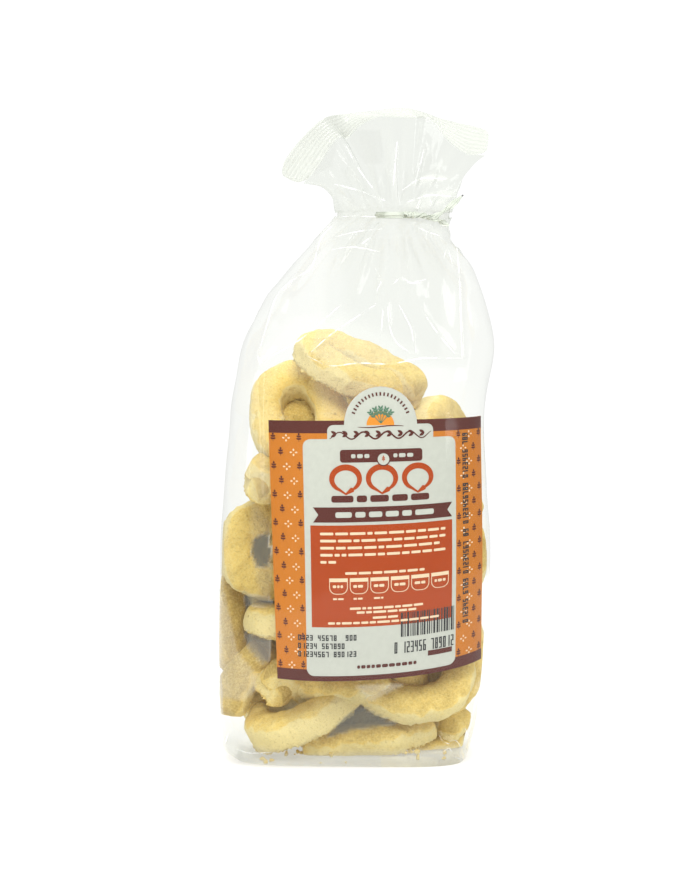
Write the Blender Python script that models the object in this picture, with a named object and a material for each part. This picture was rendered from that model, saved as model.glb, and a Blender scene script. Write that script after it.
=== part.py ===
"""A clear film bag of ring biscuits: its sealed outer form, its printed label and its twist tie.

Lengths are in metres and +Z is up. The front faces -Y, and the origin is the middle of the flat base.
"""

import math

import bmesh
import bpy
import numpy as np
from mathutils import Vector

COLLECTION = "taralli_bag"

# The filled body, one row for each level where the outline changes:
# height, sideways shift of the middle, half width, half depth, squareness of the section.
BODY_LEVELS = (
    (0.000, -0.0018, 0.0505, 0.0275, 4.4),
    (0.005, -0.0038, 0.0543, 0.0315, 4.0),
    (0.030, -0.0024, 0.0583, 0.0352, 3.2),
    (0.070, -0.0009, 0.0596, 0.0375, 2.7),
    (0.090, 0.0003, 0.0598, 0.0378, 2.6),
    (0.115, 0.0004, 0.0584, 0.0370, 2.6),
    (0.150, 0.0012, 0.0559, 0.0345, 2.6),
    (0.178, 0.0056, 0.0555, 0.0310, 2.7),
    (0.202, 0.0088, 0.0482, 0.0262, 2.5),
    (0.216, 0.0115, 0.0398, 0.0210, 2.3),
    (0.227, 0.0120, 0.0305, 0.0140, 2.1),
    (0.234, 0.0152, 0.0264, 0.0088, 2.0),
)
BODY_ROWS = 22
BASE_TWIST = math.radians(-12)  # the base is turned against the body, right side forward
TWIST_REACH = 0.036  # height at which the turn has died out

# The gathered neck: a narrow core with the film fanning out just below and just above it.
NECK_HEIGHT = 0.2385
NECK_SHIFT = 0.0174
CORE_HALF_WIDTH = 0.0066
CORE_HALF_DEPTH = 0.0060
GROOVE_LIP = 0.0030
GROOVE_FLOOR = 0.0017
GROOVE_CLOSING = 0.65  # how much of the lip's height is gone at the left and right ends
FAN_HALF_WIDTH = 0.0262
FAN_HALF_DEPTH = 0.0076

# The fan of film above the tie ends in a flat sealed band. Its outline is seen from the front:
# the band's lower edge and its upper edge, from the drooping left end to the right end (x, y, z).
SEAL_LOWER_EDGE = (
    (-0.0243, -0.007, 0.2516),
    (-0.0190, -0.006, 0.2575),
    (-0.0071, -0.003, 0.2725),
    (-0.0040, 0.003, 0.2721),
    (0.0022, 0.001, 0.2778),
    (0.0110, -0.003, 0.2816),
    (0.0256, -0.003, 0.2812),
    (0.0322, 0.002, 0.2816),
    (0.0432, 0.004, 0.2712),
    (0.0529, 0.001, 0.2652),
    (0.0585, -0.001, 0.2650),
)
SEAL_UPPER_EDGE = (
    (-0.0348, -0.009, 0.2556),
    (-0.0318, -0.010, 0.2619),
    (-0.0247, -0.010, 0.2712),
    (-0.0132, -0.007, 0.2804),
    (-0.0044, 0.001, 0.2822),
    (0.0100, 0.005, 0.2840),
    (0.0220, 0.005, 0.2853),
    (0.0300, 0.004, 0.2838),
    (0.0397, 0.006, 0.2809),
    (0.0604, 0.001, 0.2760),
)
FAN_BEND = (-0.0100, 0.2530)  # x and z that the fan's left side bends round
FAN_RIGHT_BEND = (0.0450, 0.2560)  # the same on its right side
FAN_ROWS = 10
FAN_CLOSING = 1.3  # how quickly the fan's front and back come together
FAN_SWAY = 0.3  # how much of the band's waviness is there halfway up the fan
SEAL_RIBS = 4
SEAL_THICKNESS = 0.0014
RIB_GROOVE = 0.0007

# Pleats that run out of the neck, in front and behind.
PLEATS = 7
PLEAT_SHIFT = 0.6  # radians by which the pleats are off the middle
PLEAT_DEPTH = 0.0024
PLEAT_REACH = 0.050  # how far below and above the tie the pleats fade out
PLEAT_FULL = 0.012  # how far from the tie they are deepest
PLEAT_FADE = 1.5  # how quickly they fade
PLEAT_AT_NECK = 0.15  # what is left of their depth beside the tie
SIDE_CALM = 2.0  # how close to the left and right edges the pleats reach
AROUND = 64  # points round every section

# The printed label on the front: its edges seen from the front.
LABEL_MIDDLE = 0.0048
LABEL_WIDTH = 0.0930
LABEL_BOTTOM = 0.0385
LABEL_TOP = 0.1514
LABEL_SMILE = 0.0030  # how much higher its lower edge is at the ends than in the middle
DOME_RADIUS = 0.0158
DOME_DROP = 0.0016  # how far the dome's centre is below the label's upper edge
DOME_COLUMNS = 6  # on each side of its middle
SHOULDER_COLUMNS = 6  # from the dome to each side edge
LABEL_THICKNESS = 0.0004
GAP = 0.0004
LABEL_ROWS = 9

# The twist tie: a ring round the core, a knot in front and two tails to the right.
# The tails' points are measured from the knot.
TIE_WIRE = 0.0009
TIE_CLEARANCE = 0.0004
TIE_SIDES = 44
KNOT_SIZE = (0.0030, 0.0019, 0.0020)
KNOT_ANGLE = math.radians(-60)  # round the ring from +X, towards the front
KNOT_FORWARD = 0.0024  # how far in front of the ring the knot sits
LOWER_TAIL = (
    (0.0, 0.0, 0.0),
    (0.0060, -0.0010, -0.0002),
    (0.0120, -0.0010, -0.0016),
    (0.0185, 0.0008, -0.0044),
)
UPPER_TAIL = (
    (0.0105, -0.0010, -0.0012),
    (0.0145, -0.0016, 0.0006),
    (0.0190, -0.0012, 0.0038),
    (0.0240, 0.0, 0.0078),
)
TAIL_WIDTH = 0.0030
TAIL_THICKNESS = 0.0010
LOWER_TAIL_TURNS = 1.5
UPPER_TAIL_TURNS = 0.5
TAIL_STEPS = 12


def clear_scene():
    for item in list(bpy.data.objects):
        bpy.data.objects.remove(item, do_unlink=True)


def new_collection(name):
    made = bpy.data.collections.new(name)
    bpy.context.scene.collection.children.link(made)
    return made


def principled(name, colour, roughness, alpha=1.0):
    made = bpy.data.materials.new(name)
    made.use_nodes = True
    shader = made.node_tree.nodes["Principled BSDF"]
    shader.inputs["Base Color"].default_value = (*colour, 1.0)
    shader.inputs["Roughness"].default_value = roughness
    shader.inputs["Metallic"].default_value = 0.0
    shader.inputs["Alpha"].default_value = alpha
    return made


def smooth_between(knots, place):
    """A row of values at place, from knots whose first column rises, with no overshoot between them."""
    knots = np.array(knots)
    at, values = knots[:, 0], knots[:, 1:]
    step = np.diff(at)[:, None]
    slope = np.diff(values, axis=0) / step
    tangent = np.zeros_like(values)
    product = slope[:-1] * slope[1:]
    mean = 2 * product / np.where(product > 0, slope[:-1] + slope[1:], 1.0)
    tangent[1:-1] = np.where(product > 0, mean, 0.0)
    tangent[0], tangent[-1] = slope[0], slope[-1]
    i = int(np.clip(np.searchsorted(at, place) - 1, 0, len(at) - 2))
    width = at[i + 1] - at[i]
    t = (place - at[i]) / width
    rise = 3 * t**2 - 2 * t**3
    bend_in = t**3 - 2 * t**2 + t
    bend_out = t**3 - t**2
    start, end = values[i], values[i + 1]
    return start + (end - start) * rise + width * (bend_in * tangent[i] + bend_out * tangent[i + 1])


def along(points, share):
    """The point this share of the way along a chain of points, rounded a little at each one."""
    points = np.array(points)
    lengths = np.concatenate([[0.0], np.cumsum(np.linalg.norm(np.diff(points, axis=0), axis=1))])
    knots = np.column_stack([lengths / lengths[-1], points])
    return smooth_between(knots, share)


def signed_power(value, power):
    return math.copysign(abs(value) ** power, value)


def pleat_height(across, height):
    """How far the film stands out in a pleat; across runs from -1 to 1, and height is above the floor."""
    away = abs(height - NECK_HEIGHT)
    fading = max(0.0, 1.0 - away / PLEAT_REACH) ** PLEAT_FADE
    squeezed = PLEAT_AT_NECK + (1 - PLEAT_AT_NECK) * min(1.0, away / PLEAT_FULL)
    wave = math.cos(PLEATS * math.pi * across + PLEAT_SHIFT) * (1 - abs(across) ** 3)
    return PLEAT_DEPTH * fading * squeezed * wave


def base_turn(height):
    return BASE_TWIST * max(0.0, 1.0 - height / TWIST_REACH) ** 2


def section(height, middle, half_width, half_depth, squareness, pleated=True, closing=0.0):
    """One closed row of points round the bag at this height, lower by closing at its left and right ends."""
    row = []
    turn = base_turn(height)
    for i in range(AROUND):
        angle = 2 * math.pi * i / AROUND
        across = signed_power(math.cos(angle), 2 / squareness)
        deep = signed_power(math.sin(angle), 2 / squareness)
        fold = pleat_height(across, height) * min(1.0, SIDE_CALM * abs(deep)) if pleated else 0.0
        x, y = half_width * across, half_depth * deep + math.copysign(fold, fold * deep)
        turned_x = x * math.cos(turn) - y * math.sin(turn)
        turned_y = x * math.sin(turn) + y * math.cos(turn)
        row.append(Vector((middle + turned_x, turned_y, height - closing * across**2)))
    return row


def body_section(height):
    middle, half_width, half_depth, squareness = smooth_between(BODY_LEVELS, height)
    return section(height, middle, half_width, half_depth, squareness)


def neck_sections():
    """The lip below the tie, the floor of the groove that the tie lies in, and the lip above it."""
    middle = NECK_SHIFT
    fan = (FAN_HALF_WIDTH, FAN_HALF_DEPTH, 2.0)
    core = (CORE_HALF_WIDTH, CORE_HALF_DEPTH, 2.0)
    return [
        section(NECK_HEIGHT - GROOVE_LIP, middle, *fan, closing=-GROOVE_LIP * GROOVE_CLOSING),
        section(NECK_HEIGHT - GROOVE_FLOOR, middle, *core, pleated=False),
        section(NECK_HEIGHT + GROOVE_FLOOR, middle, *core, pleated=False),
    ]


def fan_point(across, rise):
    """The middle of the film above the tie: rise goes from 0 at the groove's lip to 1 at the seal."""
    share = (across + 1) / 2
    lip = GROOVE_LIP * (1 - GROOVE_CLOSING * across**2)
    start = np.array((NECK_SHIFT + FAN_HALF_WIDTH * across, 0.0, NECK_HEIGHT + lip))
    end = along(SEAL_LOWER_EDGE, share)
    left, right = np.array(FAN_BEND), np.array(FAN_RIGHT_BEND)
    edge = left + (right - left) * share
    middle_height = 0.5 * (start[2] + end[2])
    side = across**2
    bend = np.array((edge[0], end[1] * FAN_SWAY, middle_height + (edge[1] - middle_height) * side))
    return (1 - rise) ** 2 * start + 2 * rise * (1 - rise) * bend + rise**2 * end


def fan_sections():
    rows = []
    for step in range(FAN_ROWS):
        rise = step / FAN_ROWS
        half_depth = SEAL_THICKNESS / 2 + (FAN_HALF_DEPTH - SEAL_THICKNESS / 2) * (1 - rise) ** FAN_CLOSING
        row = []
        for i in range(AROUND):
            angle = 2 * math.pi * i / AROUND
            across, deep = math.cos(angle), math.sin(angle)
            middle = fan_point(across, rise)
            fold = pleat_height(across, middle[2]) * min(1.0, SIDE_CALM * abs(deep)) * (1 - rise)
            y = middle[1] + half_depth * deep + math.copysign(fold, fold * deep)
            row.append(Vector((middle[0], y, middle[2])))
        rows.append(row)
    return rows


def seal_sections():
    """The sealed band, with ribs that run along it."""
    rows = []
    steps = 2 * SEAL_RIBS
    for step in range(steps + 1):
        share_up = step / steps
        thickness = SEAL_THICKNESS - RIB_GROOVE * (step % 2)
        row = []
        for i in range(AROUND):
            angle = 2 * math.pi * i / AROUND
            share = (math.cos(angle) + 1) / 2
            lower, upper = along(SEAL_LOWER_EDGE, share), along(SEAL_UPPER_EDGE, share)
            middle = lower + (upper - lower) * share_up
            row.append(Vector((middle[0], middle[1] + thickness / 2 * math.sin(angle), middle[2])))
        rows.append(row)
    return rows


def add_mesh(name, mesh_faces, material, collection):
    """A new object from a bmesh, with its faces turned outwards and shaded smooth but for sharp folds."""
    bmesh.ops.recalc_face_normals(mesh_faces, faces=mesh_faces.faces)
    mesh = bpy.data.meshes.new(name)
    mesh_faces.to_mesh(mesh)
    mesh_faces.free()
    mesh.shade_smooth()
    mesh.set_sharp_from_angle(angle=math.radians(35))
    mesh.materials.append(material)
    item = bpy.data.objects.new(name, mesh)
    collection.objects.link(item)
    return item


def strip_cap(shape, ring):
    """Closes a flattened ring with faces from its front points to its back points."""
    count = len(ring)
    for i in range(count // 2):
        corners = [ring[i], ring[i + 1], ring[count - i - 1], ring[(count - i) % count]]
        unlike = [corner for k, corner in enumerate(corners) if corner not in corners[:k]]
        shape.faces.new(unlike)


def loft(rows):
    """A closed body through rows of points that go round, closed at both ends."""
    shape = bmesh.new()
    rings = [[shape.verts.new(point) for point in row] for row in rows]
    count = len(rings[0])
    for lower, upper in zip(rings, rings[1:]):
        for i in range(count):
            j = (i + 1) % count
            shape.faces.new((lower[i], lower[j], upper[j], upper[i]))
    strip_cap(shape, rings[0])
    strip_cap(shape, rings[-1])
    return shape


def make_bag(collection):
    first, last = BODY_LEVELS[1][0], BODY_LEVELS[-1][0]
    heights = [0.0, first / 2] + list(np.linspace(first, last, BODY_ROWS))
    rows = [body_section(float(height)) for height in heights]
    rows += neck_sections() + fan_sections() + seal_sections()
    film = principled("film", (0.86, 0.89, 0.86), 0.08, 0.35)
    return add_mesh("bag", loft(rows), film, collection)


def front_depth(x, height):
    """How far in front of the bag's middle plane its front surface is."""
    middle, half_width, half_depth, squareness = smooth_between(BODY_LEVELS, height)
    across = min(0.999, abs((x - middle) / half_width))
    return half_depth * (1 - across**squareness) ** (1 / squareness)


def front_point(x, height, stand_off):
    """The point this far off the bag's front surface, along its normal."""
    step = 0.0005
    slope_x = (front_depth(x + step, height) - front_depth(x - step, height)) / (2 * step)
    slope_z = (front_depth(x, height + step) - front_depth(x, height - step)) / (2 * step)
    normal = Vector((-slope_x, -1.0, -slope_z)).normalized()
    return Vector((x, -front_depth(x, height), height)) + normal * stand_off


def label_edges(x):
    """The label's lower and upper height at x: the upper edge rises in a dome over its middle."""
    across = (x - LABEL_MIDDLE) / (LABEL_WIDTH / 2)
    lower = LABEL_BOTTOM + LABEL_SMILE * across**2
    from_middle = abs(x - LABEL_MIDDLE)
    dome = math.sqrt(max(0.0, DOME_RADIUS**2 - from_middle**2)) - DOME_DROP
    return lower, LABEL_TOP + max(0.0, dome)


def label_columns():
    """Places across the label, closer together where the dome meets the straight edge."""
    half = LABEL_WIDTH / 2
    quarter = math.pi / 2
    right = [DOME_RADIUS * math.sin(quarter * k / DOME_COLUMNS) for k in range(1, DOME_COLUMNS + 1)]
    span = half - DOME_RADIUS
    right += [DOME_RADIUS + span * k / SHOULDER_COLUMNS for k in range(1, SHOULDER_COLUMNS + 1)]
    return [LABEL_MIDDLE + x for x in [-x for x in reversed(right)] + [0.0] + right]


def make_label(collection):
    shape = bmesh.new()
    columns = label_columns()
    sheets = []
    for stand_off in (GAP, GAP + LABEL_THICKNESS):
        sheet = []
        for x in columns:
            lower, upper = label_edges(x)
            column = []
            for row in range(LABEL_ROWS + 1):
                height = lower + (upper - lower) * row / LABEL_ROWS
                column.append(shape.verts.new(front_point(x, height, stand_off)))
            sheet.append(column)
        sheets.append(sheet)
    back, front = sheets
    last_column, last_row = len(columns) - 1, LABEL_ROWS
    for i in range(last_column):
        for j in range(last_row):
            shape.faces.new((front[i][j], front[i + 1][j], front[i + 1][j + 1], front[i][j + 1]))
            shape.faces.new((back[i][j], back[i][j + 1], back[i + 1][j + 1], back[i + 1][j]))
        for j in (0, last_row):
            shape.faces.new((back[i][j], back[i + 1][j], front[i + 1][j], front[i][j]))
    for i in (0, last_column):
        for j in range(last_row):
            shape.faces.new((back[i][j], back[i][j + 1], front[i][j + 1], front[i][j]))
    paper = principled("label", (0.82, 0.28, 0.08), 0.45)
    return add_mesh("label", shape, paper, collection)


def tie_ring_point(angle):
    reach = TIE_CLEARANCE + TIE_WIRE
    return Vector((
        NECK_SHIFT + (CORE_HALF_WIDTH + reach) * math.cos(angle),
        (CORE_HALF_DEPTH + reach) * math.sin(angle),
        NECK_HEIGHT,
    ))


def tie_ring(collection):
    """The wire's turn round the neck, as a curve made into a mesh."""
    curve = bpy.data.curves.new("tie_path", "CURVE")
    curve.dimensions = "3D"
    curve.bevel_depth = TIE_WIRE
    curve.bevel_resolution = 1
    path = curve.splines.new("POLY")
    path.points.add(TIE_SIDES - 1)
    for i, point in enumerate(path.points):
        point.co = (*tie_ring_point(2 * math.pi * i / TIE_SIDES), 1.0)
    path.use_cyclic_u = True
    guide = bpy.data.objects.new("tie_path", curve)
    collection.objects.link(guide)
    bpy.context.view_layer.update()
    mesh = bpy.data.meshes.new_from_object(guide.evaluated_get(bpy.context.evaluated_depsgraph_get()))
    bpy.data.objects.remove(guide)
    ring = bpy.data.objects.new("tie", mesh)
    collection.objects.link(ring)
    return ring


def tie_knot(place, collection):
    shape = bmesh.new()
    bmesh.ops.create_uvsphere(shape, u_segments=12, v_segments=8, radius=1.0)
    bmesh.ops.scale(shape, vec=KNOT_SIZE, verts=shape.verts)
    bmesh.ops.translate(shape, vec=place, verts=shape.verts)
    return add_mesh("tie_knot", shape, None, collection)


def tie_tail(start, offsets, turns, collection):
    """A flat strip that twists as it leaves the knot."""
    look = 0.02
    rows = []
    for step in range(TAIL_STEPS + 1):
        share = step / TAIL_STEPS
        middle = Vector(along(offsets, share)) + start
        after, before = along(offsets, min(1.0, share + look)), along(offsets, max(0.0, share - look))
        ahead = Vector(after - before).normalized()
        side = ahead.cross(Vector((0, 1, 0))).normalized()
        other = ahead.cross(side)
        angle = 2 * math.pi * turns * share
        wide = (side * math.cos(angle) + other * math.sin(angle)) * TAIL_WIDTH / 2
        thin = (other * math.cos(angle) - side * math.sin(angle)) * TAIL_THICKNESS / 2
        rows.append([middle + wide + thin, middle - wide + thin, middle - wide - thin, middle + wide - thin])
    return add_mesh("tie_tail", loft(rows), None, collection)


def make_tie(collection, helpers):
    ring = tie_ring(collection)
    start = tie_ring_point(KNOT_ANGLE) + Vector((0.0, -KNOT_FORWARD, 0.0))
    pieces = [
        tie_knot(start, helpers),
        tie_tail(start, LOWER_TAIL, LOWER_TAIL_TURNS, helpers),
        tie_tail(start, UPPER_TAIL, UPPER_TAIL_TURNS, helpers),
    ]
    for piece in pieces:
        joined = ring.modifiers.new("join", "BOOLEAN")
        joined.operation = "UNION"
        joined.solver = "MANIFOLD"
        joined.object = piece
    bpy.context.view_layer.update()
    mesh = bpy.data.meshes.new_from_object(ring.evaluated_get(bpy.context.evaluated_depsgraph_get()))
    ring.modifiers.clear()
    ring.data = mesh
    for piece in pieces:
        bpy.data.objects.remove(piece)
    mesh.materials.clear()
    mesh.materials.append(principled("tie", (0.80, 0.82, 0.76), 0.6))
    mesh.shade_smooth()
    mesh.set_sharp_from_angle(angle=math.radians(35))
    return ring


def main():
    clear_scene()
    parts = new_collection(COLLECTION)
    helpers = new_collection("helpers")
    make_bag(parts)
    make_label(parts)
    make_tie(parts, helpers)


main()
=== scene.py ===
"""The looks of a clear film bag of ring biscuits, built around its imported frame.

Lengths are in metres and +Z is up. The front faces -Y. The label's print is laid out in millimetres.
"""

import math
from collections import namedtuple

import bmesh
import bpy
import numpy as np
from mathutils import Matrix, Vector
from mathutils.bvhtree import BVHTree


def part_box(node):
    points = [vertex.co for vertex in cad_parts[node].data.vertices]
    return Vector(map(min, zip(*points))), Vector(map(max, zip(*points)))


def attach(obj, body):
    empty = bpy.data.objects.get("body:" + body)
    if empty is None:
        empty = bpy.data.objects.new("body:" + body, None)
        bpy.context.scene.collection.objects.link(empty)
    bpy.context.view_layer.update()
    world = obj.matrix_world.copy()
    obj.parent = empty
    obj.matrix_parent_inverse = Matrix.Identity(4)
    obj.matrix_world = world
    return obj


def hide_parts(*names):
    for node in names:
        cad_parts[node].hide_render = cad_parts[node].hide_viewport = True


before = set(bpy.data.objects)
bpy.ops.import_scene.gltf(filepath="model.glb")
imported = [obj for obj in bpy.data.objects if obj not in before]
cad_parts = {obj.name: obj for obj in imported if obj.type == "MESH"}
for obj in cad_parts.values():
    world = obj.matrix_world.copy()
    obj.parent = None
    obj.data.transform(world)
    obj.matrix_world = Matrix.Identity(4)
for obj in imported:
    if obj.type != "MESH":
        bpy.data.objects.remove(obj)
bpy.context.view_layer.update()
BODY = "root"
MM = 0.001
SHARP_EDGE = math.radians(50)  # faces that meet at more than this are shaded apart

# The photograph's view. A pixel is measured at the bag's middle.
IMAGE_WIDTH, IMAGE_HEIGHT = 700, 869
PIXEL = 0.000441
MIDDLE_PIXEL, TOP_PIXEL = 355, 110  # where x = 0 and the bag's top are in the photograph
BAG_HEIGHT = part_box("bag")[1].z
VIEW_TURN = math.radians(10)
EYE_DISTANCE, EYE_HEIGHT = 0.9, 0.225
SENSOR_WIDTH = 36.0
RIGHT = Vector((math.cos(VIEW_TURN), -math.sin(VIEW_TURN), 0.0))
TOWARD = Vector((-math.sin(VIEW_TURN), -math.cos(VIEW_TURN), 0.0))
UP = Vector((0.0, 0.0, 1.0))
AIM = RIGHT * (IMAGE_WIDTH / 2 - MIDDLE_PIXEL) * PIXEL
AIM += UP * (BAG_HEIGHT - (IMAGE_HEIGHT / 2 - TOP_PIXEL) * PIXEL)
EYE = Vector((AIM.x, AIM.y, 0.0)) + TOWARD * EYE_DISTANCE + UP * EYE_HEIGHT
FOCAL_PIXELS = (AIM - EYE).length / PIXEL
AHEAD = (AIM - EYE).normalized()
EYE_SIDE = AHEAD.cross(UP).normalized()
EYE_TOP = EYE_SIDE.cross(AHEAD)

# The bag's form, as the frame has it: height, shift of the middle, half width, half depth, squareness.
BODY_LEVELS = (
    (0.000, -0.0018, 0.0505, 0.0275, 4.4),
    (0.005, -0.0038, 0.0543, 0.0315, 4.0),
    (0.030, -0.0024, 0.0583, 0.0352, 3.2),
    (0.070, -0.0009, 0.0596, 0.0375, 2.7),
    (0.090, 0.0003, 0.0598, 0.0378, 2.6),
    (0.115, 0.0004, 0.0584, 0.0370, 2.6),
    (0.150, 0.0012, 0.0559, 0.0345, 2.6),
    (0.178, 0.0056, 0.0555, 0.0310, 2.7),
    (0.202, 0.0088, 0.0482, 0.0262, 2.5),
    (0.216, 0.0115, 0.0398, 0.0210, 2.3),
    (0.227, 0.0120, 0.0305, 0.0140, 2.1),
    (0.234, 0.0152, 0.0264, 0.0088, 2.0),
)
BASE_TWIST = math.radians(-12)
TWIST_REACH = 0.036
NECK_HEIGHT, NECK_SHIFT = 0.2385, 0.0174
CORE_HALF_WIDTH, CORE_HALF_DEPTH = 0.0066, 0.0060
GROOVE_LIP, GROOVE_CLOSING = 0.0030, 0.65
FAN_HALF_WIDTH, FAN_HALF_DEPTH = 0.0262, 0.0076
SEAL_LOWER_EDGE = (
    (-0.0243, -0.007, 0.2516),
    (-0.0190, -0.006, 0.2575),
    (-0.0071, -0.003, 0.2725),
    (-0.0040, 0.003, 0.2721),
    (0.0022, 0.001, 0.2778),
    (0.0110, -0.003, 0.2816),
    (0.0256, -0.003, 0.2812),
    (0.0322, 0.002, 0.2816),
    (0.0432, 0.004, 0.2712),
    (0.0529, 0.001, 0.2652),
    (0.0585, -0.001, 0.2650),
)
SEAL_UPPER_EDGE = (
    (-0.0348, -0.009, 0.2556),
    (-0.0318, -0.010, 0.2619),
    (-0.0247, -0.010, 0.2712),
    (-0.0132, -0.007, 0.2804),
    (-0.0044, 0.001, 0.2822),
    (0.0100, 0.005, 0.2840),
    (0.0220, 0.005, 0.2853),
    (0.0300, 0.004, 0.2838),
    (0.0397, 0.006, 0.2809),
    (0.0604, 0.001, 0.2760),
)
FAN_BEND, FAN_RIGHT_BEND = (-0.0100, 0.2530), (0.0450, 0.2560)
FAN_CLOSING, FAN_SWAY = 1.3, 0.3
SEAL_THICKNESS = 0.0012
PLEATS, PLEAT_SHIFT = 7, 0.6
PLEAT_DEPTH, PLEAT_REACH, PLEAT_FULL = 0.0024, 0.050, 0.012
PLEAT_FADE, PLEAT_AT_NECK, SIDE_CALM = 1.5, 0.15, 2.0

# The finer film of this scene.
FILM_AROUND = 256
FILM_BODY_ROWS, FILM_FAN_ROWS = 150, 40
SEAL_RIBS, ROWS_PER_RIB, RIB_DEPTH = 7, 4, 0.00014
SEAL_CORNER = 0.04  # how much of its length the seal's rounded corners take
WAIST_IN = 0.0012  # how much the gathered film draws in under the tie
FILM_OFF_LABEL = 0.0013  # how far the film passes in front of the frame's bag where the label is

# The label, as the frame has it.
LABEL_MIDDLE, LABEL_WIDTH = 0.0048, 0.0930
LABEL_BOTTOM, LABEL_TOP, LABEL_SMILE = 0.0385, 0.1514, 0.0030
DOME_RADIUS, DOME_DROP = 0.0158, 0.0016
LABEL_SLOPE, LABEL_TUCK = 0.0034, 0.0024  # how far its lower right corner is up and its lower left one in
LABEL_GAP, LABEL_THICKNESS = 0.0004, 0.0004
PRINT_LAYER = 0.00004  # each colour of print lies this far over the one below it


def view_vector(right, up, toward):
    """A direction given as the photograph shows it: to the right, up, and towards the viewer."""
    return RIGHT * right + UP * up + TOWARD * toward


def photo_ray(pixel_x, pixel_y):
    across, down = pixel_x - IMAGE_WIDTH / 2, pixel_y - IMAGE_HEIGHT / 2
    return (AHEAD + EYE_SIDE * (across / FOCAL_PIXELS) - EYE_TOP * (down / FOCAL_PIXELS)).normalized()


def photo_place(pixel_x, pixel_y, forward):
    """The point seen at this pixel that is this far in front of the bag's middle."""
    ray = photo_ray(pixel_x, pixel_y)
    return EYE + ray * ((forward - EYE.dot(TOWARD)) / ray.dot(TOWARD))


# Nodes and materials


def add_node(tree, kind, sockets=None, **settings):
    """Adds a shader node; sockets gives each named input a value or another node's output."""
    made = tree.nodes.new("ShaderNode" + kind)
    for key, value in settings.items():
        setattr(made, key, value)
    for key, value in (sockets or {}).items():
        if isinstance(value, bpy.types.NodeSocket):
            tree.links.new(value, made.inputs[key])
        else:
            made.inputs[key].default_value = value
    return made


def new_material(name):
    made = bpy.data.materials.new(name)
    made.use_nodes = True
    made.node_tree.nodes.clear()
    return made, made.node_tree


def finish_material(tree, surface):
    add_node(tree, "OutputMaterial", {"Surface": surface})


def finish_plain(tree, sockets):
    """Gives a material one all-purpose surface."""
    finish_material(tree, add_node(tree, "BsdfPrincipled", sockets).outputs[0])


def read_attribute(tree, name):
    return add_node(tree, "Attribute", attribute_name=name).outputs["Fac"]


def object_noise(tree, scale, detail, roughness=0.5, stretch=(1.0, 1.0, 1.0)):
    """Noise fixed to the object, its repeats about 1/scale metres apart."""
    place = add_node(tree, "TexCoord").outputs["Object"]
    moved = add_node(tree, "Mapping", {"Vector": place, "Scale": stretch}).outputs["Vector"]
    sockets = {"Vector": moved, "Scale": scale, "Detail": detail, "Roughness": roughness}
    return add_node(tree, "TexNoise", sockets).outputs["Fac"]


def between(tree, value, low, high, to_low=0.0, to_high=1.0):
    """A value rescaled from low..high to to_low..to_high, and held there."""
    sockets = {"Value": value, "From Min": low, "From Max": high, "To Min": to_low, "To Max": to_high}
    return add_node(tree, "MapRange", sockets, clamp=True).outputs["Result"]


def mixed(tree, share, first, second):
    """A colour between two colours."""
    made = add_node(tree, "Mix", data_type="RGBA")
    for key, value in (("Factor", share), ("A", first), ("B", second)):
        socket = next(s for s in made.inputs if s.name == key and (key == "Factor" or s.type == "RGBA"))
        if isinstance(value, bpy.types.NodeSocket):
            tree.links.new(value, socket)
        else:
            socket.default_value = value if key == "Factor" else (*value, 1.0)
    return next(s for s in made.outputs if s.type == "RGBA")


def bumped(tree, height, strength, distance):
    sockets = {"Height": height, "Strength": strength, "Distance": distance}
    return add_node(tree, "Bump", sockets).outputs["Normal"]


def combined(tree, first, second, operation="ADD"):
    """The sum of two values, or what another operation makes of them."""
    return add_node(tree, "Math", {0: first, 1: second}, operation=operation).outputs[0]


CLEAR_TINT, DOUBLED_TINT = (0.968, 0.975, 0.957), (0.912, 0.924, 0.898)
# White milk is the film's milkiness and its painted reflections; the grey milk is painted shade, and a slight
# grey in the seal.
WHITE_MILK_AND_REFLECTION, GREY_MILK_AND_SHADE = (0.72, 0.735, 0.68), (0.040, 0.038, 0.024)
FILM_IOR, FILM_ROUGHNESS = 1.48, 0.07
MOST_FRESNEL, MOST_SHINE = 0.50, 0.30


def film_material():
    """Thin clear film: it lets light through with a faint tint, shines, and is milky where creased and with
    painted reflection and shade.
    """
    made, tree = new_material("film")
    looks = ("layers", "cloud_and_painted_light", "grey", "gloss")
    layers, cloud_and_painted_light, grey, gloss = (read_attribute(tree, name) for name in looks)
    tint = mixed(tree, layers, CLEAR_TINT, DOUBLED_TINT)
    haze_and_painted_light = mixed(tree, grey, WHITE_MILK_AND_REFLECTION, GREY_MILK_AND_SHADE)
    clear = add_node(tree, "BsdfTransparent", {"Color": tint}).outputs[0]
    waves = object_noise(tree, 26.0, 2.0, 0.5, (1.0, 1.0, 0.35))
    normal = bumped(tree, waves, 0.20, 0.004)
    sockets = {"Color": (1, 1, 1, 1), "Roughness": FILM_ROUGHNESS, "Normal": normal}
    sheen = add_node(tree, "BsdfGlossy", sockets).outputs[0]
    milk = add_node(tree, "BsdfDiffuse", {"Color": haze_and_painted_light}).outputs[0]
    body = add_node(tree, "MixShader", {"Fac": cloud_and_painted_light, 1: clear, 2: milk}).outputs[0]
    edge = add_node(tree, "Fresnel", {"IOR": FILM_IOR, "Normal": normal}).outputs[0]
    sharp = between(tree, edge, 0.0, MOST_FRESNEL, 0.0, MOST_SHINE)
    shine = combined(tree, sharp, gloss, "MULTIPLY")
    finish_material(tree, add_node(tree, "MixShader", {"Fac": shine, 1: body, 2: sheen}).outputs[0])
    return made


def crease_material():
    """A painted glint along a sharp crease in the film, over the whitened line that the crease has."""
    made, tree = new_material("crease_glint")
    patches = between(tree, object_noise(tree, 210.0, 3.0), 0.40, 0.62, 0.06, 0.80)
    sockets = {"Base Color": (0.97, 0.98, 0.95, 1), "Roughness": 0.18, "Alpha": patches}
    finish_plain(tree, sockets)
    return made


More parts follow.
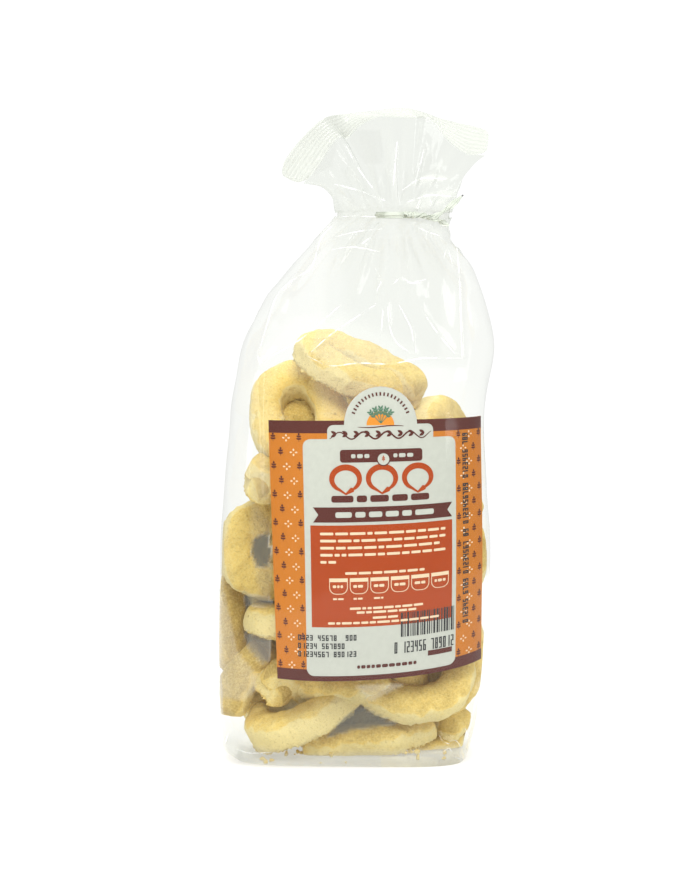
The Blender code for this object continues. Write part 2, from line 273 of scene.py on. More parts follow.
def print_material(name, colour, roughness=0.42):
    """Ink on satin paper, with a little grain and unevenness."""
    made, tree = new_material(name)
    grain = between(tree, object_noise(tree, 420.0, 4.0, 0.6), 0.3, 0.7)
    darker = tuple(0.93 * part for part in colour)
    ink = mixed(tree, grain, darker, colour)
    sockets = {
        "Base Color": ink,
        "Roughness": roughness,
        "Specular IOR Level": 0.2,
        "Normal": bumped(tree, grain, 0.10, 0.0001),
    }
    finish_plain(tree, sockets)
    return made


TIE_SHADE, TIE_PAPER = (0.47, 0.50, 0.43), (0.60, 0.63, 0.55)


def tie_material():
    """Coated paper strip over a wire: off-white, faintly streaked."""
    made, tree = new_material("tie")
    streaks = between(tree, object_noise(tree, 420.0, 2.0, 0.5, (0.2, 1.0, 1.0)), 0.3, 0.7)
    paper = mixed(tree, streaks, TIE_SHADE, TIE_PAPER)
    sockets = {"Base Color": paper, "Roughness": 0.55, "Normal": bumped(tree, streaks, 0.15, 0.0002)}
    finish_plain(tree, sockets)
    return made


PALE_CRUST = (0.800, 0.670, 0.320)
GOLDEN_CRUST = (0.790, 0.580, 0.165)
BROWN_CRUST = (0.520, 0.355, 0.085)
FLOUR = (0.900, 0.750, 0.330)
PORE = (0.360, 0.235, 0.060)


def biscuit_material():
    """Baked dough: pale flanks, golden crest, a sandy grain with open pores, and a few dark seeds."""
    made, tree = new_material("biscuit")
    browning = read_attribute(tree, "browning")
    patches = between(tree, object_noise(tree, 95.0, 4.0, 0.55), 0.3, 0.7, -0.22, 0.22)
    mottles = between(tree, object_noise(tree, 480.0, 4.0, 0.65), 0.3, 0.7, -0.18, 0.18)
    baked = combined(tree, combined(tree, patches, mottles), browning)
    golden = mixed(tree, between(tree, baked, 0.05, 0.60), PALE_CRUST, GOLDEN_CRUST)
    crust = mixed(tree, between(tree, baked, 0.70, 1.30), golden, BROWN_CRUST)
    grain = object_noise(tree, 1250.0, 3.0, 0.6)
    floury = mixed(tree, between(tree, grain, 0.42, 0.68, 0.0, 0.50), crust, FLOUR)
    pitted = between(tree, object_noise(tree, 900.0, 2.0, 0.5, (1.0, 1.0, 1.3)), 0.57, 0.72, 0.0, 0.32)
    sandy = mixed(tree, pitted, floury, PORE)
    place = add_node(tree, "TexCoord").outputs["Object"]
    seeds = add_node(tree, "TexVoronoi", {"Vector": place, "Scale": 210.0}, feature="F1")
    near = between(tree, seeds.outputs["Distance"], 0.10, 0.16, 1.0, 0.0)
    chosen = between(tree, seeds.outputs["Color"], 0.84, 0.86)
    speck = combined(tree, near, chosen, "MULTIPLY")
    colour = mixed(tree, between(tree, speck, 0.0, 1.0, 0.0, 0.55), sandy, PORE)
    coarse = object_noise(tree, 360.0, 5.0, 0.70)
    relief = combined(tree, grain, combined(tree, coarse, pitted, "SUBTRACT"))
    sockets = {
        "Base Color": colour,
        "Roughness": 0.66,
        "Specular IOR Level": 0.30,
        "Normal": bumped(tree, relief, 0.55, 0.0008),
    }
    finish_plain(tree, sockets)
    return made


# Meshes


def taken_out(shape):
    """The points and faces of a mesh in the making, which is freed."""
    shape.verts.index_update()
    points = [vertex.co.copy() for vertex in shape.verts]
    faces = [[vertex.index for vertex in face.verts] for face in shape.faces]
    shape.free()
    return points, faces


def add_object(name, data):
    """A new object in the scene that shows this mesh, light or camera."""
    made = bpy.data.objects.new(name, data)
    bpy.context.scene.collection.objects.link(made)
    return made


def add_piece(name, points, faces, material, slot, attributes=None):
    """A new piece of the object from points and faces, riding on the one body."""
    mesh = bpy.data.meshes.new(name)
    mesh.from_pydata([tuple(p) for p in points], [], [tuple(f) for f in faces])
    for key, values in (attributes or {}).items():
        layer = mesh.attributes.new(key, "FLOAT", "POINT")
        layer.data.foreach_set("value", np.asarray(values, np.float32))
    mesh.validate()
    shape = bmesh.new()
    shape.from_mesh(mesh)
    bmesh.ops.recalc_face_normals(shape, faces=shape.faces)
    shape.to_mesh(mesh)
    shape.free()
    mesh.shade_smooth()
    mesh.set_sharp_from_angle(angle=SHARP_EDGE)
    mesh.materials.append(material)
    piece = add_object(name, mesh)
    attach(piece, BODY)
    return piece


def grid_faces(rows, columns, closed_round=True):
    """Quads over a grid of points that is numbered row by row."""
    faces = []
    for r in range(rows - 1):
        for c in range(columns if closed_round else columns - 1):
            d = (c + 1) % columns
            faces.append((r * columns + c, r * columns + d, (r + 1) * columns + d, (r + 1) * columns + c))
    return faces


def strip_cap(first, count):
    """Closes a flattened ring of count points, numbered from first, with faces from its front to its back."""
    faces = []
    for i in range(count // 2):
        corners = [i, i + 1, count - i - 1, (count - i) % count]
        unlike = [corner for k, corner in enumerate(corners) if corner not in corners[:k]]
        faces.append(tuple(first + corner for corner in unlike))
    return faces


def tube_faces(rows, columns):
    """Faces over a tube of points that is numbered row by row and closed at both ends."""
    return grid_faces(rows, columns) + strip_cap(0, columns) + strip_cap((rows - 1) * columns, columns)


def smooth_between(knots, places):
    """Rows of values at these places, from knots whose first column rises, with no overshoot."""
    knots, places = np.asarray(knots, float), np.atleast_1d(np.asarray(places, float))
    at, values = knots[:, 0], knots[:, 1:]
    slope = np.diff(values, axis=0) / np.diff(at)[:, None]
    product, total = slope[:-1] * slope[1:], slope[:-1] + slope[1:]
    tangent = np.zeros_like(values)
    tangent[1:-1] = np.where(product > 0, 2 * product / np.where(product > 0, total, 1.0), 0.0)
    tangent[0], tangent[-1] = slope[0], slope[-1]
    i = np.clip(np.searchsorted(at, places) - 1, 0, len(at) - 2)
    width = (at[i + 1] - at[i])[:, None]
    t = (places - at[i])[:, None] / width
    rise = 3 * t**2 - 2 * t**3
    bend_in, bend_out = t**3 - 2 * t**2 + t, t**3 - t**2
    start, end = values[i], values[i + 1]
    return start + (end - start) * rise + width * (bend_in * tangent[i] + bend_out * tangent[i + 1])


def unit(vectors):
    """These vectors, each brought to a length of one."""
    return vectors / np.maximum(np.linalg.norm(vectors, axis=-1, keepdims=True), 1e-12)


def run_along(points):
    """How far along a line each of its points is."""
    steps = np.linalg.norm(np.diff(points, axis=0), axis=1)
    return np.concatenate([[0.0], np.cumsum(steps)])


def along(points, shares):
    """The points these shares of the way along a chain of points, rounded a little at each one."""
    points = np.asarray(points, float)
    lengths = run_along(points)
    return smooth_between(np.column_stack([lengths / lengths[-1], points]), shares)


def resampled(points, at, wanted):
    """A line's points at other places along it, with straight lines between the known ones."""
    return np.column_stack([np.interp(wanted, at, column) for column in points.T])


def sideways(line):
    """The direction to the left of a flat line at each of its points."""
    heading = unit(np.gradient(line, axis=0))
    return np.column_stack([-heading[:, 1], heading[:, 0]])


def signed_power(value, power):
    return np.sign(value) * np.abs(value) ** power


def smooth_step(value, low, high):
    t = np.clip((np.asarray(value, float) - low) / (high - low), 0.0, 1.0)
    return t * t * (3 - 2 * t)


def hump(value, low, full, still, high):
    """0 up to low, 1 from full to still, and 0 again from high on, with soft steps."""
    return smooth_step(value, low, full) * smooth_step(value, high, still)


def ripples(points, length, seed, waves=28, stretch=(1.0, 1.0, 1.0)):
    """Smooth random relief of about -1 to 1 at these points, its bumps about this long."""
    random = np.random.default_rng(seed)
    heading = unit(random.normal(size=(waves, 3)))
    speed = 2 * np.pi / length * random.uniform(0.6, 1.5, waves)
    phase = random.uniform(0, 2 * np.pi, waves)
    turns = (np.asarray(points) * np.asarray(stretch)) @ (heading * speed[:, None]).T + phase
    return np.cos(turns).sum(axis=1) * math.sqrt(2 / waves) / 2


# Film


def pleat_height(across, height):
    away = np.abs(height - NECK_HEIGHT)
    fading = np.maximum(0.0, 1.0 - away / PLEAT_REACH) ** PLEAT_FADE
    squeezed = PLEAT_AT_NECK + (1 - PLEAT_AT_NECK) * np.minimum(1.0, away / PLEAT_FULL)
    wave = np.cos(PLEATS * np.pi * across + PLEAT_SHIFT) * (1 - np.abs(across) ** 3)
    return PLEAT_DEPTH * fading * squeezed * wave


def even_outline(half_width, half_depth, squareness):
    """Evenly spaced places round a section: how far across and how deep each is, from -1 to 1."""
    angle = np.linspace(0, 2 * np.pi, 4096)
    across = signed_power(np.cos(angle), 2 / squareness)
    deep = signed_power(np.sin(angle), 2 / squareness)
    run = run_along(np.column_stack([across * half_width, deep * half_depth]))
    wanted = np.arange(FILM_AROUND) / FILM_AROUND * run[-1]
    return np.interp(wanted, run, across), np.interp(wanted, run, deep)


def section(height, middle, half_width, half_depth, squareness, closing=0.0):
    across, deep = even_outline(half_width, half_depth, squareness)
    fold = pleat_height(across, height) * np.minimum(1.0, SIDE_CALM * np.abs(deep))
    x, y = half_width * across, half_depth * deep + fold * np.sign(deep)
    turn = BASE_TWIST * max(0.0, 1.0 - height / TWIST_REACH) ** 2
    turned_x, turned_y = x * math.cos(turn) - y * math.sin(turn), x * math.sin(turn) + y * math.cos(turn)
    return np.column_stack([middle + turned_x, turned_y, height - closing * across**2])


def fan_middle(across, rise):
    """The middle of the film above the tie: rise goes from 0 at the groove's lip to 1 at the seal."""
    share = (across + 1) / 2
    lip = GROOVE_LIP * (1 - GROOVE_CLOSING * across**2)
    start = np.column_stack([NECK_SHIFT + FAN_HALF_WIDTH * across, 0 * across, NECK_HEIGHT + lip])
    end = along(SEAL_LOWER_EDGE, share)
    edge_x = FAN_BEND[0] + (FAN_RIGHT_BEND[0] - FAN_BEND[0]) * share
    edge_z = FAN_BEND[1] + (FAN_RIGHT_BEND[1] - FAN_BEND[1]) * share
    middle_z = 0.5 * (start[:, 2] + end[:, 2])
    bend = np.column_stack([edge_x, end[:, 1] * FAN_SWAY, middle_z + (edge_z - middle_z) * across**2])
    return (1 - rise) ** 2 * start + 2 * rise * (1 - rise) * bend + rise**2 * end


def fan_rows():
    rows = []
    for rise in np.arange(FILM_FAN_ROWS) / FILM_FAN_ROWS:
        half_depth = SEAL_THICKNESS / 2 + (FAN_HALF_DEPTH - SEAL_THICKNESS / 2) * (1 - rise) ** FAN_CLOSING
        across, deep = even_outline(FAN_HALF_WIDTH, half_depth, 2.0)
        row = fan_middle(across, rise)
        calm = np.minimum(1.0, SIDE_CALM * np.abs(deep)) * (1 - rise)
        row[:, 1] += half_depth * deep + pleat_height(across, row[:, 2]) * calm * np.sign(deep)
        rows.append(row)
    return rows


def seal_rows():
    """The sealed band, with fine crimps that run along it."""
    rows = []
    across, deep = even_outline(FAN_HALF_WIDTH, SEAL_THICKNESS, 2.0)
    steps = ROWS_PER_RIB * SEAL_RIBS
    for step in range(steps + 1):
        from_middle = abs(2 * step / steps - 1)
        inset = SEAL_CORNER * (1 - math.sqrt(1 - max(0.0, 2 * from_middle - 1) ** 2))
        share = inset + (1 - 2 * inset) * (across + 1) / 2
        lower, upper = along(SEAL_LOWER_EDGE, share), along(SEAL_UPPER_EDGE, share)
        row = lower + (upper - lower) * step / steps
        crimp = RIB_DEPTH / 2 * math.cos(2 * math.pi * step / ROWS_PER_RIB)
        row[:, 1] += SEAL_THICKNESS / 2 * deep + crimp
        rows.append(row)
    return rows


def base_film():
    """The film as a grid of points, row by row from the base to the sealed edge."""
    first, last = BODY_LEVELS[1][0], BODY_LEVELS[-1][0]
    heights = np.concatenate([[0.0, 0.0012, 0.0025, 0.0038], np.linspace(first, last, FILM_BODY_ROWS)])
    rows = [section(h, *levels) for h, levels in zip(heights, smooth_between(BODY_LEVELS, heights))]
    fan = (FAN_HALF_WIDTH, FAN_HALF_DEPTH, 2.0)
    waist = (FAN_HALF_WIDTH - WAIST_IN, FAN_HALF_DEPTH - WAIST_IN, 2.0)
    rows.append(section(NECK_HEIGHT - GROOVE_LIP, NECK_SHIFT, *fan, closing=-GROOVE_LIP * GROOVE_CLOSING))
    for rise in (-0.5, 0.0, 0.5):
        rows.append(section(NECK_HEIGHT + rise * GROOVE_LIP, NECK_SHIFT, *waist))
    return np.array(rows + fan_rows() + seal_rows())


def grid_normals(grid):
    """The outward normals of a grid that goes round in its second direction."""
    round_step = np.roll(grid, -1, axis=1) - np.roll(grid, 1, axis=1)
    up_step = np.gradient(grid, axis=0)
    return unit(np.cross(round_step, up_step))


LINE_STEP = 1.5  # how many pixels apart the points along a crease are
CREASE_SPREAD = 2.2  # how many times wider than its white glint a crease is
GLINT_SHARE, GLINT_LIFT = 0.7, 0.00012  # a glint's part of its width, and how far in front of the film it is

# Creases that the photograph shows, each as pixels along it, its width and its height on the film.
Crease = namedtuple("Crease", "pixels width height")
FRONT_CREASES = (
    Crease(
        ((259, 353), (268, 322), (278, 294), (296, 278), (311, 268), (322, 237), (332, 226)), 0.0009, 0.0012
    ),
    Crease(((261, 364), (269, 358), (298, 341), (342, 304)), 0.0008, 0.0009),
    Crease(((307, 356), (333, 366), (360, 363), (387, 364), (426, 358), (462, 358)), 0.0009, 0.0010),
    Crease(((311, 352), (329, 336), (352, 320), (375, 305)), 0.0008, 0.0008),
    Crease(((462, 358), (461, 326), (460, 294), (457, 250), (449, 230)), 0.0008, 0.0012),
    Crease(((383, 308), (382, 322), (380, 339)), 0.0006, 0.0006),
    Crease(((387, 305), (390, 328), (397, 343), (413, 354)), 0.0007, 0.0008),
    Crease(((399, 305), (406, 318), (412, 332), (414, 352)), 0.0006, 0.0007),
    Crease(((422, 310), (431, 324), (440, 336), (455, 354)), 0.0008, 0.0008),
    Crease(((375, 268), (381, 281), (377, 292), (382, 303)), 0.0005, 0.0006),
    Crease(((393, 284), (401, 278), (412, 283), (426, 279)), 0.0009, 0.0006),
    Crease(((442, 266), (447, 249), (453, 267)), 0.0005, 0.0005),
    Crease(((331, 250), (352, 247), (380, 252)), 0.0006, 0.0005),
    Crease(((333, 218), (352, 216), (378, 217)), 0.0006, 0.0005),
    Crease(((258, 357), (262, 366)), 0.0016, 0.0006),
    Crease(((345, 144), (358, 168), (378, 195)), 0.0007, 0.0009),
    Crease(((334, 184), (360, 191), (385, 201)), 0.0008, 0.0009),
    Crease(((397, 141), (395, 165), (393, 190)), 0.0007, 0.0007),
    Crease(((424, 149), (419, 168), (414, 186)), 0.0005, 0.0007),
    Crease(((446, 179), (425, 178), (402, 190)), 0.0009, 0.0009),
    Crease(((456, 197), (432, 195), (405, 203)), 0.0008, 0.0009),
    Crease(((382, 229), (362, 231), (334, 237)), 0.0006, 0.0007),
    Crease(((362, 244), (370, 238), (380, 235)), 0.0009, 0.0008),
    Crease(((440, 236), (428, 232), (414, 226)), 0.0005, 0.0007),
    Crease(((439, 735), (443, 741), (449, 744)), 0.0007, 0.0008),
    Crease(((449, 742), (454, 740), (459, 744), (461, 750)), 0.0005, 0.0008),
    Crease(((443, 752), (449, 748), (452, 753)), 0.0006, 0.0007),
    Crease(((455, 757), (462, 759), (466, 756)), 0.0006, 0.0006),
    Crease(((465, 728), (468, 738), (466, 750)), 0.0006, 0.0008),
    Crease(((229, 732), (225, 744), (221, 757)), 0.0008, 0.0008),
    Crease(((236, 749), (252, 753), (276, 752)), 0.0005, 0.0005),
)


def line_on(film, pixels):
    """Points close together on the film's front under a line of pixels, each with its normal."""
    pixels = np.asarray(pixels, float)
    length = np.linalg.norm(np.diff(pixels, axis=0), axis=1).sum()
    found = []
    for x, y in along(pixels, np.linspace(0, 1, max(3, int(length / LINE_STEP)))):
        ray = photo_ray(x, y)
        place, normal = film.ray_cast(EYE, ray)[:2]
        if place is not None:
            found.append((place, normal if normal.dot(ray) < 0 else -normal))
    return found


def tree_of(points, faces):
    return BVHTree.FromPolygons([Vector(p) for p in points], faces)


def ridge(points, line, width, height):
    """How far a crease along this line lifts each point."""
    lifted = np.zeros(len(points))
    if not line:
        return lifted
    middle = np.array([place for place, _ in line])
    low, high = middle.min(axis=0) - 3 * width, middle.max(axis=0) + 3 * width
    near = np.where(((points > low) & (points < high)).all(axis=1))[0]
    for some in np.array_split(near, 1 + len(near) // 4000):
        away = np.linalg.norm(points[some][:, None] - middle[None], axis=2).min(axis=1)
        lifted[some] = height * np.exp(-((away / width) ** 2))
    return lifted


def label_cover(points):
    """1 where the film lies in front of the label, falling to 0 round it."""
    x, y, z = points.T
    side = smooth_step(np.abs(x - LABEL_MIDDLE), LABEL_WIDTH / 2 + 0.004, LABEL_WIDTH / 2 + 0.001)
    top = LABEL_TOP + DOME_RADIUS
    level = hump(z, LABEL_BOTTOM - 0.006, LABEL_BOTTOM - 0.002, top + 0.001, top + 0.006)
    return side * level * (y < 0)


def gathers(points):
    """Fine folds that run out from the tie, from about -1 to 1, and how strong they are at each point."""
    across, up = points[:, 0] - NECK_SHIFT, points[:, 2] - NECK_HEIGHT
    away = np.hypot(across, up)
    round_tie = 0.030 * np.arctan2(across, np.abs(up) + 0.012)
    spread = np.column_stack([round_tie, 0.06 * away, 0.02 * np.sign(points[:, 1])])
    return ripples(spread, 0.0040, 9, waves=40), hump(away, 0.002, 0.010, 0.014, 0.052)


def on_print(points):
    """Which points of the film lie right in front of the label."""
    x, y, z = points.T
    across = np.abs(x - LABEL_MIDDLE)
    main = (across < LABEL_WIDTH / 2) & (z > LABEL_BOTTOM) & (z < LABEL_TOP)
    dome = np.hypot(across, z - LABEL_TOP + DOME_DROP) < DOME_RADIUS
    return (main | dome) & (y < 0)


# How high the film's folds are: long ones, crumples, those of its fan, those that run out from the tie.
LONG_FOLD, CRUMPLE, FAN_FOLD, GATHER = 0.0009, 0.0005, 0.0003, 0.0009
DEEPEST, DEEPER_ABOVE = 0.0004, 0.0030  # how far the film may sink in over the contents, and above them


def film_relief(points, creases):
    """How far the film stands out from its plain form at each point."""
    z = points[:, 2]
    body = hump(z, 0.002, 0.010, 0.222, 0.236)
    label = label_cover(points)
    slack = 1 - 0.85 * label
    long_folds = LONG_FOLD * ripples(points, 0.034, 5, stretch=(1.0, 1.0, 0.30))
    crumple = CRUMPLE * ripples(points, 0.013, 6, stretch=(1.0, 1.0, 0.55))
    upper = smooth_step(z, 0.150, 0.185)
    low = smooth_step(z, 0.040, 0.012)
    relief = body * slack * (long_folds * (0.6 + 0.2 * upper) + crumple * (0.35 + 0.3 * upper + low))
    relief += FAN_FOLD * ripples(points, 0.010, 7) * hump(z, 0.238, 0.246, 0.262, 0.272)
    folds, strength = gathers(points)
    relief += GATHER * folds * strength
    for crease, line in creases:
        relief += ridge(points, line, CREASE_SPREAD * crease.width, crease.height) * slack
    deepest = -DEEPEST - DEEPER_ABOVE * smooth_step(z, 0.188, 0.200)
    return np.maximum(relief, deepest) + FILM_OFF_LABEL * label


def in_groove(points):
    """1 in the middle of the groove where the tie lies, falling to 0 just above and below it."""
    return np.exp(-(((points[:, 2] - NECK_HEIGHT) / (1.2 * GROOVE_LIP)) ** 2))


PANEL_DOUBLED, FAN_DOUBLED = 0.75, 0.90


def film_layers(points):
    """Where the film is doubled: its flat front panel between the contents and the neck, and the fan."""
    x, z = points[:, 0], points[:, 2]
    panel = smooth_step(z, 0.172, 0.176) * hump(x, -0.012, -0.006, 0.042, 0.046)
    fan = smooth_step(z, 0.236, 0.242)
    return np.maximum(PANEL_DOUBLED * panel * (1 - fan), FAN_DOUBLED * fan)


# Where the photograph shows the film hazy over what is behind it: the corners of each zone in pixels, how
# much of the light it stops, how grey it looks and how soft its border is. The white zones are the film's
# milkiness with painted reflections of the soft lights on it; the darker grey zones are painted shade over
# the gaps and holes between the biscuits.
HazeAndPaintedLight = namedtuple("HazeAndPaintedLight", "pixels share grey soft", defaults=(1.5,))
HAZE_AND_PAINTED_LIGHT = (
    HazeAndPaintedLight(((316, 262), (313, 300), (317, 330), (311, 352), (330, 366), (387, 363), (462, 358), (458, 240),
          (330, 235)), 0.12, 0.20),
    HazeAndPaintedLight(((262, 366), (298, 341), (311, 352), (330, 366), (387, 363), (402, 345), (350, 322), (297, 318),
          (260, 350)), 0.06, 0.0),
    HazeAndPaintedLight(((232, 480), (236, 400), (272, 318), (350, 312), (410, 345), (478, 392), (474, 440), (330, 470),
          (322, 420), (312, 376), (280, 374), (270, 400), (290, 425), (300, 470)), 0.10, 0.0, 8.0),
    HazeAndPaintedLight(((208, 600), (219, 588), (225, 595), (228, 612), (236, 650), (257, 677), (256, 690), (243, 701),
          (205, 694)), 0.20, 0.28),
    HazeAndPaintedLight(((284, 706), (285, 724), (299, 733), (299, 748), (437, 738), (437, 714), (380, 702), (345, 696)),
         0.06, 0.60),
    HazeAndPaintedLight(((357, 687), (370, 703), (380, 697), (402, 684), (440, 673), (440, 664), (350, 680)), 0.18, 0.10),
    HazeAndPaintedLight(((238, 744), (300, 756), (437, 748), (456, 742), (462, 768), (236, 762)), 0.30, 0.46, 4.0),
    HazeAndPaintedLight(((208, 690), (222, 742), (238, 766), (246, 744), (232, 724)), 0.12, 0.20, 3.0),
    HazeAndPaintedLight(((252, 494), (268, 520), (276, 530), (276, 600), (262, 600), (254, 570), (250, 530)),
         0.10, 0.45, 3.0),
    HazeAndPaintedLight(((254, 538), (268, 533), (274, 547), (268, 566), (257, 567), (251, 552)), 0.80, 0.96),
    HazeAndPaintedLight(((244, 630), (250, 636), (276, 639), (276, 657), (262, 663), (248, 648)), 0.50, 0.75, 2.0),
    HazeAndPaintedLight(((243, 592), (252, 596), (272, 598), (272, 605), (246, 607)), 0.50, 0.85),
    HazeAndPaintedLight(((345, 717), (360, 707), (372, 712), (385, 719), (398, 724), (385, 725), (350, 731), (325, 738)),
         0.74, 0.92),
    HazeAndPaintedLight(((250, 474), (269, 474), (269, 500), (256, 500)), 0.20, 0.54, 2.0),
    HazeAndPaintedLight(((412, 184), (424, 176), (437, 174), (448, 179), (442, 182), (430, 182), (415, 187)),
         0.32, 0.0, 1.2),
    HazeAndPaintedLight(((400, 212), (409, 202), (430, 193), (446, 190), (460, 194), (451, 203), (433, 205), (415, 211)),
         0.24, 0.0, 1.2),
    HazeAndPaintedLight(((355, 130), (380, 130), (383, 151), (382, 164), (364, 163), (349, 140)), 0.08, 0.50, 1.2),
    HazeAndPaintedLight(((425, 146), (437, 166), (415, 184), (413, 175)), 0.10, 0.50, 1.2),
    HazeAndPaintedLight(((329, 128), (338, 140), (332, 166), (314, 175), (305, 160)), 0.10, 0.50, 1.2),
)


def photo_pixels(points):
    """Where the photograph shows these points, in pixels."""
    arms = np.asarray(points) - np.array(EYE)
    scale = FOCAL_PIXELS / (arms @ np.array(AHEAD))
    across, up = arms @ np.array(EYE_SIDE) * scale, arms @ np.array(EYE_TOP) * scale
    return np.column_stack([IMAGE_WIDTH / 2 + across, IMAGE_HEIGHT / 2 - up])


def inside_polygon(places, corners, soft):
    """1 inside a polygon and 0 outside, with a border this soft."""
    corners = np.asarray(corners, float)
    inside, nearest = np.zeros(len(places), bool), np.full(len(places), np.inf)
    for start, end in zip(corners, np.roll(corners, -1, axis=0)):
        edge, arms = end - start, places - start
        share = np.clip(arms @ edge / (edge @ edge), 0.0, 1.0)
        nearest = np.minimum(nearest, np.linalg.norm(arms - share[:, None] * edge, axis=1))
        crossed = (start[1] > places[:, 1]) != (end[1] > places[:, 1])
        run = np.where(crossed, (places[:, 1] - start[1]) / (edge[1] if edge[1] else 1.0), 0.0)
        inside ^= crossed & (places[:, 0] < start[0] + run * edge[0])
    return smooth_step(np.where(inside, nearest, -nearest), -soft, soft)


def film_haze_and_painted_light(points, normals):
    """Hazy front film, painted reflection and shade: how much light each point stops, and how grey it looks.
    """
    front = (normals @ np.array(TOWARD) > 0) & ~on_print(points)
    places = photo_pixels(points)
    share, grey = np.zeros(len(points)), np.zeros(len(points))
    for haze_and_painted_light in HAZE_AND_PAINTED_LIGHT:
        here = front * inside_polygon(places, haze_and_painted_light.pixels, haze_and_painted_light.soft)
        mean = (share * grey + here * haze_and_painted_light.share * haze_and_painted_light.grey) / (share + here * haze_and_painted_light.share + 1e-9)
        grey = np.where(here > 0.02, mean, grey)
        share = 1 - (1 - share) * (1 - here * haze_and_painted_light.share)
    return share, grey


def seal_stripes(points):
    """The sealed band's crimps as painted stripes of light and shade, 0 to 1 at each of its points, row by
    row.
    """
    rows = np.arange(len(points)) // FILM_AROUND
    return 0.5 + 0.5 * np.cos(2 * np.pi * rows / ROWS_PER_RIB)


# How milky the film is: all of it, at the neck, on the gathers, in the tie's groove and in the sealed band,
# whose crimps are stripes of painted light and shade.
PLAIN_CLOUD, NECK_CLOUD, GATHER_CLOUD, GROOVE_CLOUD = 0.005, 0.05, 0.12, 0.14
SEAL_CLOUD, CRIMP_CLOUD = 0.42, 0.12
# Grey milk: painted shade in the tie's groove, a little in the seal, less on its crimps as painted highlight.
GROOVE_GREY, SEAL_GREY, CRIMP_HIGHLIGHT = 0.25, 0.09, 0.07


def film_milk_and_crimp_light(points, seal_start):
    """How milky the film is at each point: mostly in the sealed band and beside the tie, with painted crimp
    stripes.
    """
    z = points[:, 2]
    neck = np.exp(-(((z - NECK_HEIGHT) / 0.014) ** 2))
    patches = 0.5 + 0.5 * ripples(points, 0.016, 8)
    folds, strength = gathers(points)
    cloud_and_painted_light = PLAIN_CLOUD + NECK_CLOUD * neck * np.clip(patches, 0, 1)
    cloud_and_painted_light += GATHER_CLOUD * np.clip(folds, 0, 1) * strength + GROOVE_CLOUD * in_groove(points)
    cloud_and_painted_light[seal_start:] = SEAL_CLOUD + CRIMP_CLOUD * seal_stripes(points[seal_start:])
    return cloud_and_painted_light


def film_gloss(points, normals):
    """How well the film shines: less at the back, which mirrors only the contents, and under the tie."""
    behind = smooth_step(normals @ np.array(TOWARD), 0.10, -0.30)
    return (1 - 0.80 * behind) * (1 - 0.9 * in_groove(points))


def ribbon(line, width, lift):
    """A thin tapered strip that lies on a line of points of the film."""
    points, count = [], len(line)
    for k, (place, normal) in enumerate(line):
        after, before = line[min(k + 1, count - 1)][0], line[max(k - 1, 0)][0]
        side = (after - before).cross(normal).normalized()
        half = width / 2 * (0.15 + 0.85 * math.sin(math.pi * (k + 0.5) / count) ** 0.6)
        points += [place + normal * lift - side * half, place + normal * lift + side * half]
    faces = [(2 * k, 2 * k + 1, 2 * k + 3, 2 * k + 2) for k in range(count - 1)]
    return points, faces


def make_film():
    grid = base_film()
    rows, columns = grid.shape[:2]
    faces = tube_faces(rows, columns)
    points, normals = grid.reshape(-1, 3), grid_normals(grid).reshape(-1, 3)
    plain = tree_of(points, faces)
    creases = [(crease, line_on(plain, crease.pixels)) for crease in FRONT_CREASES]
    moved = points + normals * film_relief(points, creases)[:, None]
    moved[:, 2] = np.clip(moved[:, 2], 0.0, BAG_HEIGHT)
    seal_start = (rows - ROWS_PER_RIB * SEAL_RIBS - 1) * columns
    # The zones' painted reflections and painted shade join the film's milk here.
    share, grey = film_haze_and_painted_light(points, normals)
    # Painted shade greys the milk in the tie's groove.
    grey = np.maximum(grey, GROOVE_GREY * in_groove(points))
    # The seal is a little grey, lighter on each crimp as a painted highlight.
    grey[seal_start:] = SEAL_GREY - CRIMP_HIGHLIGHT * seal_stripes(points[seal_start:])
    cloud_and_painted_light = 1 - (1 - film_milk_and_crimp_light(points, seal_start)) * (1 - share)
    gloss = film_gloss(points, normals)
    looks = {"layers": film_layers(points), "cloud_and_painted_light": cloud_and_painted_light, "grey": grey, "gloss": gloss}
    film = add_piece("film", moved, faces, film_material(), "film", attributes=looks)
    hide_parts("bag")
    return tree_of(moved, faces)


def make_creases(film):
    """White glints along the sharpest creases."""
    points, faces = [], []
    for crease in FRONT_CREASES:
        line = line_on(film, crease.pixels)
        if len(line) < 2:
            continue
        new_points, new_faces = ribbon(line, GLINT_SHARE * crease.width, GLINT_LIFT)
        faces += [tuple(len(points) + i for i in face) for face in new_faces]
        points += new_points
    add_piece("crease_glints", points, faces, crease_material(), "film")


# Label


def front_depth(x, height):
    """How far in front of the bag's middle plane its front surface is."""
    middle, half_width, half_depth, squareness = smooth_between(BODY_LEVELS, height).T
    across = np.minimum(0.999, np.abs((x - middle) / half_width))
    return half_depth * (1 - across**squareness) ** (1 / squareness)


